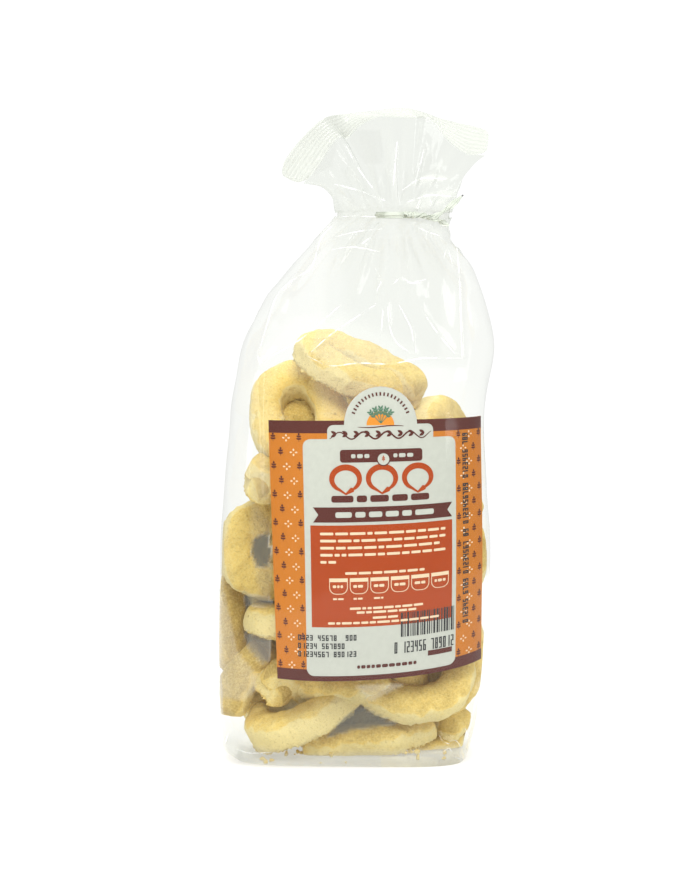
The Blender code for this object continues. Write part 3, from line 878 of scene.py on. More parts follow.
def on_label(across, up, stand_off):
    """The points at these places on the label, in millimetres from its middle and its lower edge."""
    x = LABEL_MIDDLE + np.asarray(across, float) * MM
    up = np.asarray(up, float) * MM
    lower = LABEL_BOTTOM + LABEL_SMILE * ((x - LABEL_MIDDLE) / (LABEL_WIDTH / 2)) ** 2
    full = LABEL_TOP - LABEL_BOTTOM
    height = np.where(up < full, lower + up * (LABEL_TOP - lower) / full, LABEL_TOP + up - full)
    low, share = 1 - np.clip(up / full, 0, 1), (x - LABEL_MIDDLE) / LABEL_WIDTH
    height = height + LABEL_SLOPE * low * (share + 0.5)
    x = x + LABEL_TUCK * low**1.5 * np.clip(-2 * share, 0, 1) ** 2
    step = 0.0005
    slope_x = (front_depth(x + step, height) - front_depth(x - step, height)) / (2 * step)
    slope_z = (front_depth(x, height + step) - front_depth(x, height - step)) / (2 * step)
    normal = unit(np.column_stack([-slope_x, -np.ones_like(x), -slope_z]))
    return np.column_stack([x, -front_depth(x, height), height]) + normal * stand_off


LABEL_WIDE, LABEL_TALL = LABEL_WIDTH / MM, (LABEL_TOP - LABEL_BOTTOM) / MM


def rectangle(left, bottom, right, top):
    return [(left, bottom), (right, bottom), (right, top), (left, top)]


def arc(middle_x, middle_y, radius, start, end, steps):
    angles = np.radians(np.linspace(start, end, steps + 1))
    return [(middle_x + radius * math.cos(a), middle_y + radius * math.sin(a)) for a in angles]


def rounded(left, bottom, right, top, radius, steps=5):
    """A rectangle with round corners."""
    outline = arc(right - radius, bottom + radius, radius, -90, 0, steps)
    outline += arc(right - radius, top - radius, radius, 0, 90, steps)
    outline += arc(left + radius, top - radius, radius, 90, 180, steps)
    return outline + arc(left + radius, bottom + radius, radius, 180, 270, steps)


def disc(x, y, radius, steps=24):
    return arc(x, y, radius, 0, 360, steps)[:-1]


def band(outer, inner):
    """Quads between two outlines with as many points."""
    count = len(outer)
    return [[outer[i], outer[(i + 1) % count], inner[(i + 1) % count], inner[i]] for i in range(count)]


def stroke(points, width):
    """Quads along a line of points, thin at both ends."""
    points = np.asarray(points, float)
    share = np.linspace(0, 1, len(points))[:, None]
    reach = sideways(points) * width / 2 * (0.25 + 0.75 * np.sin(np.pi * share) ** 0.5)
    left, right = points + reach, points - reach
    return [[left[i], right[i], right[i + 1], left[i + 1]] for i in range(len(points) - 1)]


def turned(outline, x, y, angle, scale=1.0):
    """An outline turned, scaled and moved."""
    c, s = math.cos(math.radians(angle)) * scale, math.sin(math.radians(angle)) * scale
    return [(x + c * u - s * v, y + s * u + c * v) for u, v in outline]


def leaf(length, width, steps=6):
    """A pointed leaf along +Y from the origin."""
    share = np.linspace(0, 1, steps + 1)
    half = width / 2 * np.sin(np.pi * share) ** 0.8
    right = [(h, length * t) for h, t in zip(half, share)]
    return right + [(-h, length * t) for h, t in zip(half[1:-1][::-1], share[1:-1][::-1])]


def sprig(x, y, size):
    """A small upright spray of five leaves on a stem."""
    blades = ((0, 0.34, 0.0), (-58, 0.12, -0.04), (58, 0.12, 0.04), (-66, -0.22, -0.04), (66, -0.22, 0.04))
    parts = [turned(leaf(0.46, 0.28), dx, dy, tilt) for tilt, dy, dx in blades]
    parts.append(rectangle(-0.035, -0.55, 0.035, 0.45))
    return [turned(part, x, y, 0.0, size) for part in parts]


def four_dots(x, y, size):
    """Four small leaves set in a diamond."""
    dot = leaf(0.34, 0.22, 4)
    return [turned(turned(dot, 0, 0.16, 0), x, y, 90 * k, size) for k in range(4)]


def words(left, right, y, height, seed, gap, shortest, longest):
    """A row of plain bars that stand for the words of a line."""
    random = np.random.default_rng(seed)
    bars, x = [], left
    while x < right - shortest:
        end = min(right, x + random.uniform(shortest, longest))
        bars.append(rounded(x, y - height / 2, end, y + height / 2, height * 0.3, 2))
        x = end + gap
    return bars


# The bars that each numeral lights: top, upper right, lower right, bottom, lower left, upper left and middle.
NUMERAL_BARS = {
    "0": "trRblL", "1": "rR", "2": "trmlb", "3": "trmRb", "4": "LmrR", "5": "tLmRb",
    "6": "tLmRbl", "7": "trR", "8": "trRblLm", "9": "tLrmRb", " ": "",
}


def numerals(text, left, bottom, height, pitch, weight=0.16):
    """A line of plain numerals, each made of straight bars."""
    wide, pen = 0.72 * pitch, min(weight * height, 0.30 * pitch)
    middle, top = bottom + height / 2, bottom + height
    marks = []
    for k, numeral in enumerate(text):
        x = left + k * pitch
        spans = {
            "t": (x, top - pen, x + wide, top),
            "m": (x, middle - pen / 2, x + wide, middle + pen / 2),
            "b": (x, bottom, x + wide, bottom + pen),
            "r": (x + wide - pen, middle, x + wide, top),
            "R": (x + wide - pen, bottom, x + wide, middle),
            "L": (x, middle, x + pen, top),
            "l": (x, bottom, x + pen, middle),
        }
        marks += [rectangle(*spans[bar]) for bar in NUMERAL_BARS[numeral]]
    return marks


def arch_marks(x, y, radius, start, end, count, height, width):
    """Small upright marks set along an arch."""
    marks = []
    for angle in np.linspace(start, end, count):
        a = math.radians(angle)
        mark = rectangle(-width / 2, -height / 2, width / 2, height / 2)
        marks.append(turned(mark, x + radius * math.cos(a), y + radius * math.sin(a), angle - 90))
    return marks


PRINT_CELL = 2.4
PRINT_CELL_TALL = 3 * PRINT_CELL  # the label bends less upwards than across
ABOVE_LABEL = 18  # room for the dome


def lay_print(name, outlines, layer, material):
    """Lays flat outlines on the label's curved front, cut into small cells so that they follow it."""
    shape = bmesh.new()
    for outline in outlines:
        shape.faces.new([shape.verts.new((u, v, 0.0)) for u, v in outline])
    cuts = [(x, 0) for x in np.arange(-LABEL_WIDE / 2, LABEL_WIDE / 2, PRINT_CELL)]
    cuts += [(y, 1) for y in np.arange(0.0, LABEL_TALL + ABOVE_LABEL, PRINT_CELL_TALL)]
    for place, axis in cuts:
        facing = Vector((1 - axis, axis, 0))
        everything = shape.verts[:] + shape.edges[:] + shape.faces[:]
        bmesh.ops.bisect_plane(shape, geom=everything, plane_co=facing * place, plane_no=facing)
    bmesh.ops.triangulate(shape, faces=shape.faces)
    flat = np.array([vertex.co[:2] for vertex in shape.verts])
    stand_off = LABEL_GAP + LABEL_THICKNESS + PRINT_LAYER * layer
    for vertex, place in zip(shape.verts, on_label(flat[:, 0], flat[:, 1], stand_off)):
        vertex.co = place
    add_piece(name, *taken_out(shape), material, "label")


def label_height(across):
    """The label's upper edge at these places, in millimetres."""
    from_middle = np.abs(across) * MM
    dome = np.sqrt(np.maximum(0.0, DOME_RADIUS**2 - from_middle**2)) - DOME_DROP
    return LABEL_TALL + np.maximum(0.0, dome) / MM


def make_label_sheet():
    """The sheet itself, with its thickness, its dome and its orange ground."""
    dome_edge = math.sqrt(DOME_RADIUS**2 - DOME_DROP**2) / MM
    half = LABEL_WIDE / 2
    inside = dome_edge * np.sin(np.linspace(-np.pi / 2, np.pi / 2, 33))
    outside = np.linspace(dome_edge, half, 16)[1:]
    across = np.concatenate([-outside[::-1], inside, outside])
    rows = 60
    share = np.linspace(0, 1, rows)
    wide, tall = np.meshgrid(across, share, indexing="ij")
    up = tall * label_height(wide)
    points = np.concatenate([
        on_label(wide.ravel(), up.ravel(), LABEL_GAP),
        on_label(wide.ravel(), up.ravel(), LABEL_GAP + LABEL_THICKNESS),
    ])
    count = len(across) * rows
    faces = grid_faces(len(across), rows, closed_round=False)
    faces += [tuple(count + i for i in face[::-1]) for face in faces]
    last = len(across) - 1
    rim = [(i * rows + j, (i + 1) * rows + j) for i in range(last) for j in (0, rows - 1)]
    rim += [(i * rows + j, i * rows + j + 1) for j in range(rows - 1) for i in (0, last)]
    faces += [(a, b, count + b, count + a) for a, b in rim]
    sheet = add_piece("label_sheet", points, faces, print_material("label_orange", ORANGE), "label")
    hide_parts("label")


ORANGE = (0.540, 0.178, 0.014)
INKS = {
    "maroon": (0.095, 0.020, 0.014),
    "orange_red": (0.385, 0.052, 0.002),
    "white": (0.520, 0.530, 0.478),
    "cream": (0.780, 0.620, 0.430),
    "black": (0.030, 0.030, 0.032),
    "green": (0.090, 0.190, 0.120),
    "sun": (0.720, 0.270, 0.030),
}

PANEL_HALF = 33.1
DOME_UP = LABEL_TALL - DOME_DROP / MM
MOTIF_PITCH, MOTIF_ROW, MOTIF_SHIFT = 10.3, 6.17, 2.85
MOTIF_ROWS, MOTIF_COLUMNS, FIRST_MOTIF = 17, 4, 6.7
STRIP_STARTS = (-44.9, 34.6)  # where the motifs of the left and of the right strip begin
SPRIG_SIZE, DIAMOND_SIZE = 2.8, 3.3
BADGE, BADGE_RADIUS, BADGE_RIM = (0.9, 96.1), 2.5, 3.0  # the small round badge on the upper ribbon
UPPER_RIBBON, LOWER_RIBBON = (-17.7, 17.9, 94.9, 100.4), (-29.4, 31.2, 69.3, 75.8)  # left, right, bottom, top
RED_FIELD, DARK_BOX = (-30.6, 23.8, 31.2, 68.0), (20.4, 8.3, 31.4, 10.6)
RING_ICONS, RING_UP, RING_RADIUS = (-15.4, 0.2, 15.8), 87.8, 5.9
LEAVES_UP, WAVE_UP = 107.1, 106.4


def strip_motifs():
    """The small leaves and the pale diamonds of both orange strips, in rows that step to and fro."""
    leaves, dots = [], []
    for row in range(MOTIF_ROWS):
        y = FIRST_MOTIF + MOTIF_ROW * row
        for first, shift in zip(STRIP_STARTS, (MOTIF_SHIFT, -MOTIF_SHIFT)):
            for column in range(MOTIF_COLUMNS):
                x = first + shift * (row % 2) + MOTIF_PITCH / 2 * column
                if PANEL_HALF + 0.8 < abs(x) < LABEL_WIDE / 2 - 1.2 and x * first > 0:
                    if column % 2 == 0:
                        leaves += sprig(x, y, SPRIG_SIZE)
                    else:
                        dots += four_dots(x, y, DIAMOND_SIZE)
    return leaves, dots


def panel_outlines():
    """The pale panel: its body, its raised middle and its dome."""
    return [
        rounded(-PANEL_HALF, 2.3, PANEL_HALF, 105.0, 3.2),
        rounded(-22.9, 95.0, 22.9, 111.0, 2.6),
        disc(0.0, DOME_UP, DOME_RADIUS / MM - 0.05, 40),
    ]


def dome_marks():
    """What is printed in maroon on the dome: a row of short marks round it and a line of ground."""
    ground = [(x, DOME_UP - 1.2 + 0.35 * math.sin(x / 3.4)) for x in np.linspace(-10, 10, 40)]
    return arch_marks(0.0, DOME_UP, 12.6, 158, 22, 19, 1.5, 0.7) + stroke(ground, 0.5)


def leafy_scroll():
    """A waving line with a pair of leaves at each step."""
    marks = []
    for x in np.linspace(-19, 19, 9):
        marks += [turned(leaf(2.7, 1.25), x, LEAVES_UP, tilt) for tilt in (62, 118)]
    wave = [(x, WAVE_UP + 1.5 * math.sin(x * 0.62)) for x in np.linspace(-22, 22, 120)]
    return marks + stroke(wave, 0.75)


def maroon_print():
    """The dark marks on the pale panel: its ornaments, both ribbons, a row of bars and the small print."""
    marks = dome_marks() + leafy_scroll()
    marks += ribbon_outline(*UPPER_RIBBON, 0.0)
    marks += words(-21.6, 23.2, 79.3, 2.9, 31, 1.4, 4.0, 10.0)
    marks += ribbon_outline(*LOWER_RIBBON, 2.2)
    marks += band(disc(*BADGE, BADGE_RIM), disc(*BADGE, BADGE_RADIUS))
    marks += [rectangle(*DARK_BOX)]
    return marks + words(-10.6, 15.4, 6.1, 1.5, 32, 0.5, 1.0, 2.6)


def sheaf_print():
    """Five stems with their grains, spread like a fan."""
    sheaf = []
    for tilt in (-44, -22, 0, 22, 44):
        sheaf.append(turned(rectangle(-0.16, 0.0, 0.16, 6.4), 0.0, DOME_UP + 0.2, tilt))
        for k in range(3):
            for lean in (-32, 32):
                grain = turned(leaf(1.9, 0.8), 0.0, 3.6 + 1.2 * k, lean)
                sheaf.append(turned(grain, 0.0, DOME_UP + 0.2, tilt))
    return sheaf


def red_print():
    """The orange-red field and the three rings above it."""
    marks = [rectangle(*RED_FIELD)]
    for x in RING_ICONS:
        marks += ring_icon(x, RING_UP, RING_RADIUS)
    return marks


def make_print():
    """Every print on the label: its name, its outlines, how many layers up it lies and its ink."""
    inks = {name: print_material("ink_" + name, colour) for name, colour in INKS.items()}
    half = LABEL_WIDE / 2
    leaves, dots = strip_motifs()
    bands = [rectangle(-half, LABEL_TALL - 5.4, half, LABEL_TALL), rectangle(-half, 0.0, half, 5.1)]
    prints = [("bands", bands, 1, "maroon"), ("leaves", leaves, 1, "maroon"), ("dots", dots, 1, "cream")]
    for k, outline in enumerate(panel_outlines()):
        prints.append((f"panel_{k + 1}", [outline], 2 + 0.3 * k, "white"))
    prints += [
        ("maroon", maroon_print(), 4, "maroon"),
        ("badge", [disc(*BADGE, BADGE_RADIUS)], 5, "white"),
        ("sun", [arc(-0.2, DOME_UP - 0.6, 6.0, 0, 180, 24)], 3, "sun"),
        ("sheaf", sheaf_print(), 4, "green"),
        ("badge_mark", sprig(*BADGE, 2.0), 6, "orange_red"),
        ("red", red_print(), 3, "orange_red"),
        ("pale", pale_print(), 5, "cream"),
        ("ribbon_words", ribbon_words(), 6, "white"),
        ("black", black_print(), 4, "black"),
    ]
    for name, outlines, layer, ink in prints:
        lay_print("print_" + name, outlines, layer, inks[ink])


def ribbon_outline(left, right, bottom, top, notch):
    """A ribbon, cut in at both ends by notch."""
    middle = (bottom + top) / 2
    if notch == 0:
        return [rounded(left, bottom, right, top, 1.2)]
    right_end = [(right, bottom), (right - notch, middle), (right, top)]
    return [[(left, bottom)] + right_end + [(left, top), (left + notch, middle)]]


def ring_icon(x, y, radius):
    """A ring of rolled dough with its ends crossed, drawn as two strokes."""
    turn = np.radians(np.linspace(-62, 242, 40))
    loop = [(x + radius * math.cos(a), y + radius * 0.86 * math.sin(a)) for a in turn]
    left = loop + [(x + 0.05 * radius, y - 1.12 * radius)]
    right = [(x - 0.05 * radius, y - 1.12 * radius)] + loop[:2]
    return stroke(left, 2.6) + stroke(right, 2.3)


def pale_print():
    """The pale marks on the orange-red field: plain bars for its lines, and six small shields."""
    marks = []
    for line in range(5):
        y, right = 64.4 - 3.05 * line, (28.0 if line < 4 else -18.0)
        marks += words(-26.6, right, y, 1.15, 40 + line, 0.8, 2.0, 7.0)
    marks += words(-16.0, 19.6, 47.3, 1.1, 50, 0.7, 2.0, 6.0)
    for k in range(6):
        left = -22.9 + 8.9 * k
        outer, inner = shield(left, 38.2, 8.0, 7.0), shield(left + 0.3, 38.5, 7.4, 6.4)
        marks += band(outer, inner) + [rectangle(left + 0.3, 43.6, left + 7.7, 44.9)]
        marks += words(left + 1.5, left + 6.5, 41.6, 1.2, 60 + k, 0.4, 1.0, 2.6)
        if k < 3:
            marks += words(left + 1.6, left + 6.4, 36.2, 0.8, 70 + k, 0.4, 1.0, 3.0)
    last_lines = ((31.9, -14, 18), (30.1, -11, 15), (27.6, -4, 7), (25.6, -23.5, 26.5))
    for k, (y, left, right) in enumerate(last_lines):
        marks += words(left, right, y, 1.0, 80 + k, 0.6, 1.6, 6.0)
    return marks


def shield(left, bottom, width, height):
    """A square top on a round bottom."""
    radius = width * 0.36
    outline = arc(left + width - radius, bottom + radius, radius, -90, 0, 4)
    outline += [(left + width, bottom + height), (left, bottom + height)]
    return outline + arc(left + radius, bottom + radius, radius, 180, 270, 4)


def ribbon_words():
    marks = words(-13.0, -3.6, 97.6, 1.7, 90, 0.7, 1.2, 3.0) + words(5.2, 15.0, 97.6, 1.7, 91, 0.7, 1.2, 3.0)
    return marks + words(-20.0, 23.6, 72.5, 2.4, 92, 1.5, 4.0, 9.0)


def black_print():
    """The dark overprint: three lines of numerals, upright bars over a fourth, and one set upright."""
    random = np.random.default_rng(3)
    marks = []
    for line, text in enumerate(("0123 45678  900", "01234 567890", "01234567 890123")):
        marks += numerals(text, -36.8, 17.9 - 3.6 * line, 2.5, 1.75, 0.19)
    x = 8.3
    while x < 32.4:
        width = random.choice((0.3, 0.55, 0.85))
        marks.append(rectangle(x, 18.2, x + width, 29.0))
        x += width + random.choice((0.35, 0.6))
    marks += numerals("0 123456 789012", 5.6, 11.0, 5.0, 1.80)
    column = numerals("012345 6789 01234567 89 0123456789 0123456 789", 0.0, 0.0, 2.7, 1.88, 0.19)
    marks += [turned(mark, 39.1, 20.0, 90) for mark in column]
    return marks


# Tie


TIE_WIRE, TIE_CLEARANCE = 0.0009, 0.0004
WIRE_GREY = (0.12, 0.12, 0.11)
KNOT_ANGLE, KNOT_FORWARD = math.radians(-60), 0.0024
STRIP_THIN = 0.00016  # half a strip's thickness beside its wire
RING_STEPS, BRIDGE_STEPS, COIL_STEPS, TAIL_STEPS = 72, 8, 40, 60
COIL_TURNS, COIL_LENGTH, COIL_BACK = 2.5, 0.0046, 0.0008
COIL_DEEP, COIL_TALL = 0.0010, 0.0011  # the radii of the knot's wraps
TIE_STRIP, BRIDGE_STRIP, COIL_STRIP = (0.0026, 0.0006), (0.0024, 0.0006), (0.0017, 0.0005)  # width and wire
LOWER_TAIL = (
    (0.0, 0.0, 0.0),
    (0.0060, -0.0010, -0.0002),
    (0.0120, -0.0010, -0.0016),
    (0.0185, 0.0008, -0.0044),
)
UPPER_TAIL = (
    (0.0, 0.0, 0.0),
    (0.0060, -0.0010, -0.0002),
    (0.0105, -0.0010, -0.0012),
    (0.0145, -0.0016, 0.0006),
    (0.0190, -0.0012, 0.0038),
    (0.0240, 0.0, 0.0078),
)


def tie_ring_point(angle):
    reach = TIE_CLEARANCE + TIE_WIRE
    x = NECK_SHIFT + (CORE_HALF_WIDTH + reach) * math.cos(angle)
    return Vector((x, (CORE_HALF_DEPTH + reach) * math.sin(angle), NECK_HEIGHT))


def strip_profile(width, wire):
    """A flat strip with a wire down its middle, as points round its section."""
    half = width / 2
    upper = [(half, STRIP_THIN), (0.45 * half, STRIP_THIN), (0.25 * half, wire)]
    upper += [(-u, v) for u, v in reversed(upper)]
    return upper + [(u, -v) for u, v in reversed(upper)]


def swept_strip(middles, facings, width, wire, first):
    """A strip along a line of points, with its wide side towards each facing."""
    points, profile = [], strip_profile(width, wire)
    for k, (middle, facing) in enumerate(zip(middles, facings)):
        after, before = middles[min(k + 1, len(middles) - 1)], middles[max(k - 1, 0)]
        ahead = (after - before).normalized()
        side = ahead.cross(facing).normalized()
        over = side.cross(ahead)
        points += [middle + side * u + over * v for u, v in profile]
    faces = [tuple(first + i for i in face) for face in tube_faces(len(middles), len(profile))]
    return points, faces


def twisted(offsets, start, turns, phase):
    """A tail of the tie through these offsets from its start: its middle line and the way it faces there."""
    middles = [Vector(p) + start for p in along(offsets, np.linspace(0, 1, TAIL_STEPS))]
    facings = []
    for k in range(TAIL_STEPS):
        angle = 2 * math.pi * turns * (k / (TAIL_STEPS - 1)) ** 0.8 + phase
        facings.append(Vector((0.0, -math.cos(angle), math.sin(angle))))
    return middles, facings


def knot_coil(start):
    """The wraps of the knot, running to the right from its start."""
    coil = []
    for k in range(COIL_STEPS):
        turn = 2 * math.pi * COIL_TURNS * k / (COIL_STEPS - 1)
        across = COIL_LENGTH * k / (COIL_STEPS - 1) - COIL_BACK
        coil.append(start + Vector((across, -COIL_DEEP * math.cos(turn), COIL_TALL * math.sin(turn))))
    return coil


def make_tie():
    start = tie_ring_point(KNOT_ANGLE) + Vector((0.0, -KNOT_FORWARD, 0.0))
    middle = Vector((NECK_SHIFT, 0.0, NECK_HEIGHT))
    ring = [tie_ring_point(KNOT_ANGLE + 2 * math.pi * k / RING_STEPS) for k in range(RING_STEPS + 1)]
    bridge = [ring[0].lerp(start, k / BRIDGE_STEPS) for k in range(BRIDGE_STEPS + 1)]
    coil = knot_coil(start)
    parts = (
        (ring, [p - middle for p in ring], TIE_STRIP),
        (bridge, [Vector((1.0, 0.0, 0.3))] * len(bridge), BRIDGE_STRIP),
        (coil, [p - start - Vector((p.x - start.x, 0, 0)) for p in coil], COIL_STRIP),
        (*twisted(LOWER_TAIL, start, 2.2, 0.0), TIE_STRIP),
        (*twisted(UPPER_TAIL, start, 1.6, 1.2), TIE_STRIP),
    )
    points, faces = [], []
    for middles, facings, (width, wire) in parts:
        new_points, new_faces = swept_strip(middles, facings, width, wire, len(points))
        points += new_points
        faces += new_faces
    tie = add_piece("tie_strip", points, faces, tie_material(), "tie")
    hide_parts("tie")
    make_wire_end(start)


def make_wire_end(start):
    """The bare end of the wire at the tip of the upper tail."""
    end = start + Vector(UPPER_TAIL[-1])
    ahead = (Vector(UPPER_TAIL[-1]) - Vector(UPPER_TAIL[-2])).normalized()
    shape = bmesh.new()
    bmesh.ops.create_cone(shape, cap_ends=True, segments=10, radius1=0.00035, radius2=0.0003, depth=0.0016)
    turn = Vector((0, 0, 1)).rotation_difference(ahead).to_matrix().to_4x4()
    bmesh.ops.transform(shape, matrix=Matrix.Translation(end + ahead * 0.0005) @ turn, verts=shape.verts)
    add_piece("tie_wire_end", *taken_out(shape), print_material("wire", WIRE_GREY, 0.35), "tie")


# Biscuits


Biscuit = namedtuple(
    "Biscuit",
    "place forward crest long length width strand height kept bake",
    defaults=(0.046, 0.029, 0.0079, 0.0130, (0.0, 1.0), 0.0),
)
STRAND_STEPS, STRAND_AROUND = 230, 44
END_ROUNDING, BREAK_ROUNDING, END_TAPER = 0.0045, 0.0032, 0.14
CRUST_SQUARENESS = 2.7, 3.6  # of a strand's section above its widest level and below it
SWELL, DIMPLE, CRUMBLY = 0.00065, 0.00026, 0.00085  # heights of the crust's relief
BLISTERS, BLISTER_SIZES, BLISTER_HEIGHTS = 26, (0.0009, 0.0024), (0.0002, 0.0006)
WIDEST = 0.36  # how far up its section a strand is widest
CHAIN = 22  # spheres that stand for a biscuit while the heap settles

# Each biscuit that shows: the pixel of its middle, how far in front of the bag's middle it is, and, as the
# photograph shows them, the way its crest faces and the way its crossed ends point; then its length, its
# width, half its strand's width and its height. A broken one has kept only a share of its strand, and the
# last number is how much browner than usual it is: partly its own baking, and partly painted light and
# shade, some made paler to look lit and some browner to look shaded.
SHOWN = (
    Biscuit((300, 419), 0.005, (-0.08, 0.58, 0.81), (0.25, -1.0, 0.4), 0.042, 0.0282, 0.0081, bake=-0.25),
    Biscuit((358, 368), 0.006, (0.34, 0.80, 0.44), (1.0, -0.48, 0.05), 0.044, 0.0200, 0.0078, bake=-0.1),
    Biscuit((447, 463), -0.001, (0.84, 0.22, 0.48), (0.05, -1.0, 0.1), 0.046, 0.030),
    Biscuit((299, 486), 0.004, (0.40, 0.88, 0.20), (-0.75, 0.0, 0.66), 0.042, 0.027),
    Biscuit((286, 547), 0.004, (0.16, 0.14, 0.97), (1.0, 0.1, 0.0), 0.044, 0.0310, 0.0089, bake=-0.15),
    Biscuit(
        (233, 622), -0.004, (0.72, 0.10, 0.70), (0.0, -1.0, 0.1), 0.042, 0.018, kept=(0.04, 0.50), bake=0.9
    ),
    Biscuit((315, 624), 0.012, (0.10, 0.98, -0.04), (1.0, 0.0, -0.1), 0.044, 0.029, 0.0084, 0.0135),
    Biscuit(
        (242, 680), 0.006, (-0.25, 0.33, 0.90), (-0.64, -0.76, 0.0), 0.042, 0.016, 0.0076, 0.015,
        kept=(0.07, 0.37), bake=0.3,
    ),
    Biscuit((287, 665), -0.009, (0.45, 0.80, 0.30), (-0.20, -0.25, 0.95), 0.038, 0.024, 0.0072, bake=0.2),
    Biscuit(
        (308, 704), 0.002, (-0.40, 0.88, 0.25), (0.90, 0.42, -0.2), 0.044, 0.029, 0.0082, 0.014, bake=-0.25
    ),
    Biscuit((371, 736), 0.005, (-0.06, 0.84, 0.54), (1.0, 0.08, 0.0), 0.053, 0.010, kept=(0.0, 0.47)),
    Biscuit((409, 670), 0.006, (0.0, 0.58, 0.81), (-1.0, 0.05, 0.0), 0.044, 0.031, 0.0082, bake=-0.05),
    Biscuit((330, 676), 0.008, (-0.10, 0.60, 0.79), (1.0, -0.14, 0.0), 0.046, 0.029, kept=(0.14, 0.54)),
    Biscuit((452, 720), -0.006, (0.50, 0.60, 0.60), (0.70, 0.65, 0.3), 0.046, 0.029, kept=(0.22, 0.32)),
    Biscuit((426, 551), -0.010, (0.10, 0.50, 0.85), (-1.0, 0.0, 0.0), 0.044, 0.029),
    Biscuit((438, 630), -0.013, (0.20, 0.30, 0.92), (0.05, 1.0, 0.0), 0.042, 0.028),
    Biscuit((320, 404), -0.018, (0.10, 0.75, 0.65), (1.0, 0.2, 0.0), 0.042, 0.017, bake=0.1),
    Biscuit((274, 676), -0.015, (0.20, 0.30, 0.90), (0.0, 1.0, 0.0), 0.036, 0.018),
    Biscuit((420, 737), -0.019, (0.0, 0.95, 0.20), (1.0, 0.0, 0.0), 0.042, 0.026),
    Biscuit((256, 612), -0.022, (0.25, 0.15, 0.95), (0.0, 1.0, 0.0), 0.042, 0.022, bake=0.3),
)
# The rest of the heap: how far to the right, forward and up each one starts, in millimetres, and the way its
# crest faces. They stand against the rear film, fill the right side and lie behind the label.
HIDDEN = (
    (-28, -22, 28, (0.2, 0.3, 1.0)),
    (26, -20, 26, (-0.1, 0.5, 1.0)),
    (-30, -22, 72, (0.2, 0.2, 1.0)),
    (26, -24, 70, (-0.2, 0.2, -1.0)),
    (-24, -22, 116, (0.1, 0.3, 1.0)),
    (24, -22, 114, (0.2, 0.1, -1.0)),
    (24, -17, 137, (-0.1, 0.7, 0.7)),
    (14, 8, 84, (0.1, 0.9, -0.3)),
    (8, 8, 112, (0.2, 0.4, 0.9)),
    (-41, -12, 62, (-0.2, 0.2, 1.0)),
    (40, -10, 52, (0.2, 0.1, 1.0)),
    (-6, -24, 48, (0.1, 0.2, 1.0)),
)
SETTLE_STEPS = 420
WALL_WEIGHT = 6.0  # how much more a sphere outside the film counts than one in another biscuit
WALL_ROOM = 0.0022  # a strand is wider than its sphere by this much
SKIN_ROOM = 0.0008  # the least gap between a crust and the bag's form
FALL, FALL_ENDS_EARLY = 0.0003, 1.6  # how far the heap sinks at each step, and how soon that stops
TURN_ARM, TURN_SHARE, MOST_TURN = 0.0004, 0.8, 0.05  # how readily a pushed biscuit turns


# Half of a biscuit's loop, from its closed side to one of its ends, as shares of half its length and width.
HALF_LOOP = (
    (-1.0, 0.0),
    (-0.95, 0.38),
    (-0.78, 0.70),
    (-0.42, 0.95),
    (0.05, 1.0),
    (0.50, 0.80),
    (0.84, 0.34),
    (1.10, -0.12),
    (1.30, -0.52),
)


def strand_path(length, width):
    """The middle line of a rolled strand: a loop whose two ends cross and stick out a little."""
    a, b = length / 2, width / 2
    half = HALF_LOOP
    chain = np.array([(x * a, -y * b) for x, y in reversed(half[1:])] + [(x * a, y * b) for x, y in half])
    points = catmull_rom(chain, np.linspace(0, len(chain) - 1, 8 * len(chain)))
    run = run_along(points)
    return resampled(points, run, np.linspace(0, run[-1], STRAND_STEPS)), run[-1]


def catmull_rom(chain, places):
    """Points of a smooth curve through a chain, at places counted in links."""
    padded = np.vstack([2 * chain[0] - chain[1], chain, 2 * chain[-1] - chain[-2]])
    i = np.clip(np.floor(places).astype(int), 0, len(chain) - 2)
    t = (places - i)[:, None]
    p0, p1, p2, p3 = padded[i], padded[i + 1], padded[i + 2], padded[i + 3]
    square = (2 * p0 - 5 * p1 + 4 * p2 - p3) * t**2
    cube = (3 * p1 - p0 - 3 * p2 + p3) * t**3
    return 0.5 * (2 * p1 + (p2 - p0) * t + square + cube)


def strand_lift(share, height):
    """How far each end is raised where the strands cross: one passes over the other."""
    return 0.46 * height * smooth_step(share, 0.80, 0.93)


def kept_strand(spec, random):
    """The middle line of what is kept of a strand, each point's share of the whole, and its full length."""
    path, run = strand_path(spec.length * random.uniform(0.98, 1.02), spec.width * random.uniform(0.97, 1.03))
    whole = np.linspace(0, 1, STRAND_STEPS)
    share = np.linspace(*spec.kept, STRAND_STEPS)
    if spec.kept != (0.0, 1.0):
        path = resampled(path, whole, share)
        path -= path.mean(axis=0)
    return path, share, run


def strand_sizes(spec, share, run, seed):
    """Along the strand: how blunt it is, how round its end is, its half width and how tall it is."""
    wander = 0.06 * ripples(np.column_stack([share * run, 0 * share, 0 * share]), 0.030, seed + 1)
    from_end = np.minimum(share, 1 - share) * run
    from_break = np.minimum(share - spec.kept[0], spec.kept[1] - share) * run
    near_end = np.clip(1 - from_end / END_ROUNDING, 0.0, 1.0)
    blunt = np.maximum(near_end, np.clip(1 - from_break / BREAK_ROUNDING, 0.0, 1.0))
    cap = np.maximum(0.0, 1 - blunt**3) ** (1 / 3)
    taper = 1 - END_TAPER * smooth_step(from_end, 0.020, 0.002)
    half_wide = spec.strand * (1 + wander) * cap * taper
    tall = spec.height * (1 - 0.5 * wander) * (0.25 + 0.75 * cap) * taper
    return blunt, cap, half_wide, tall


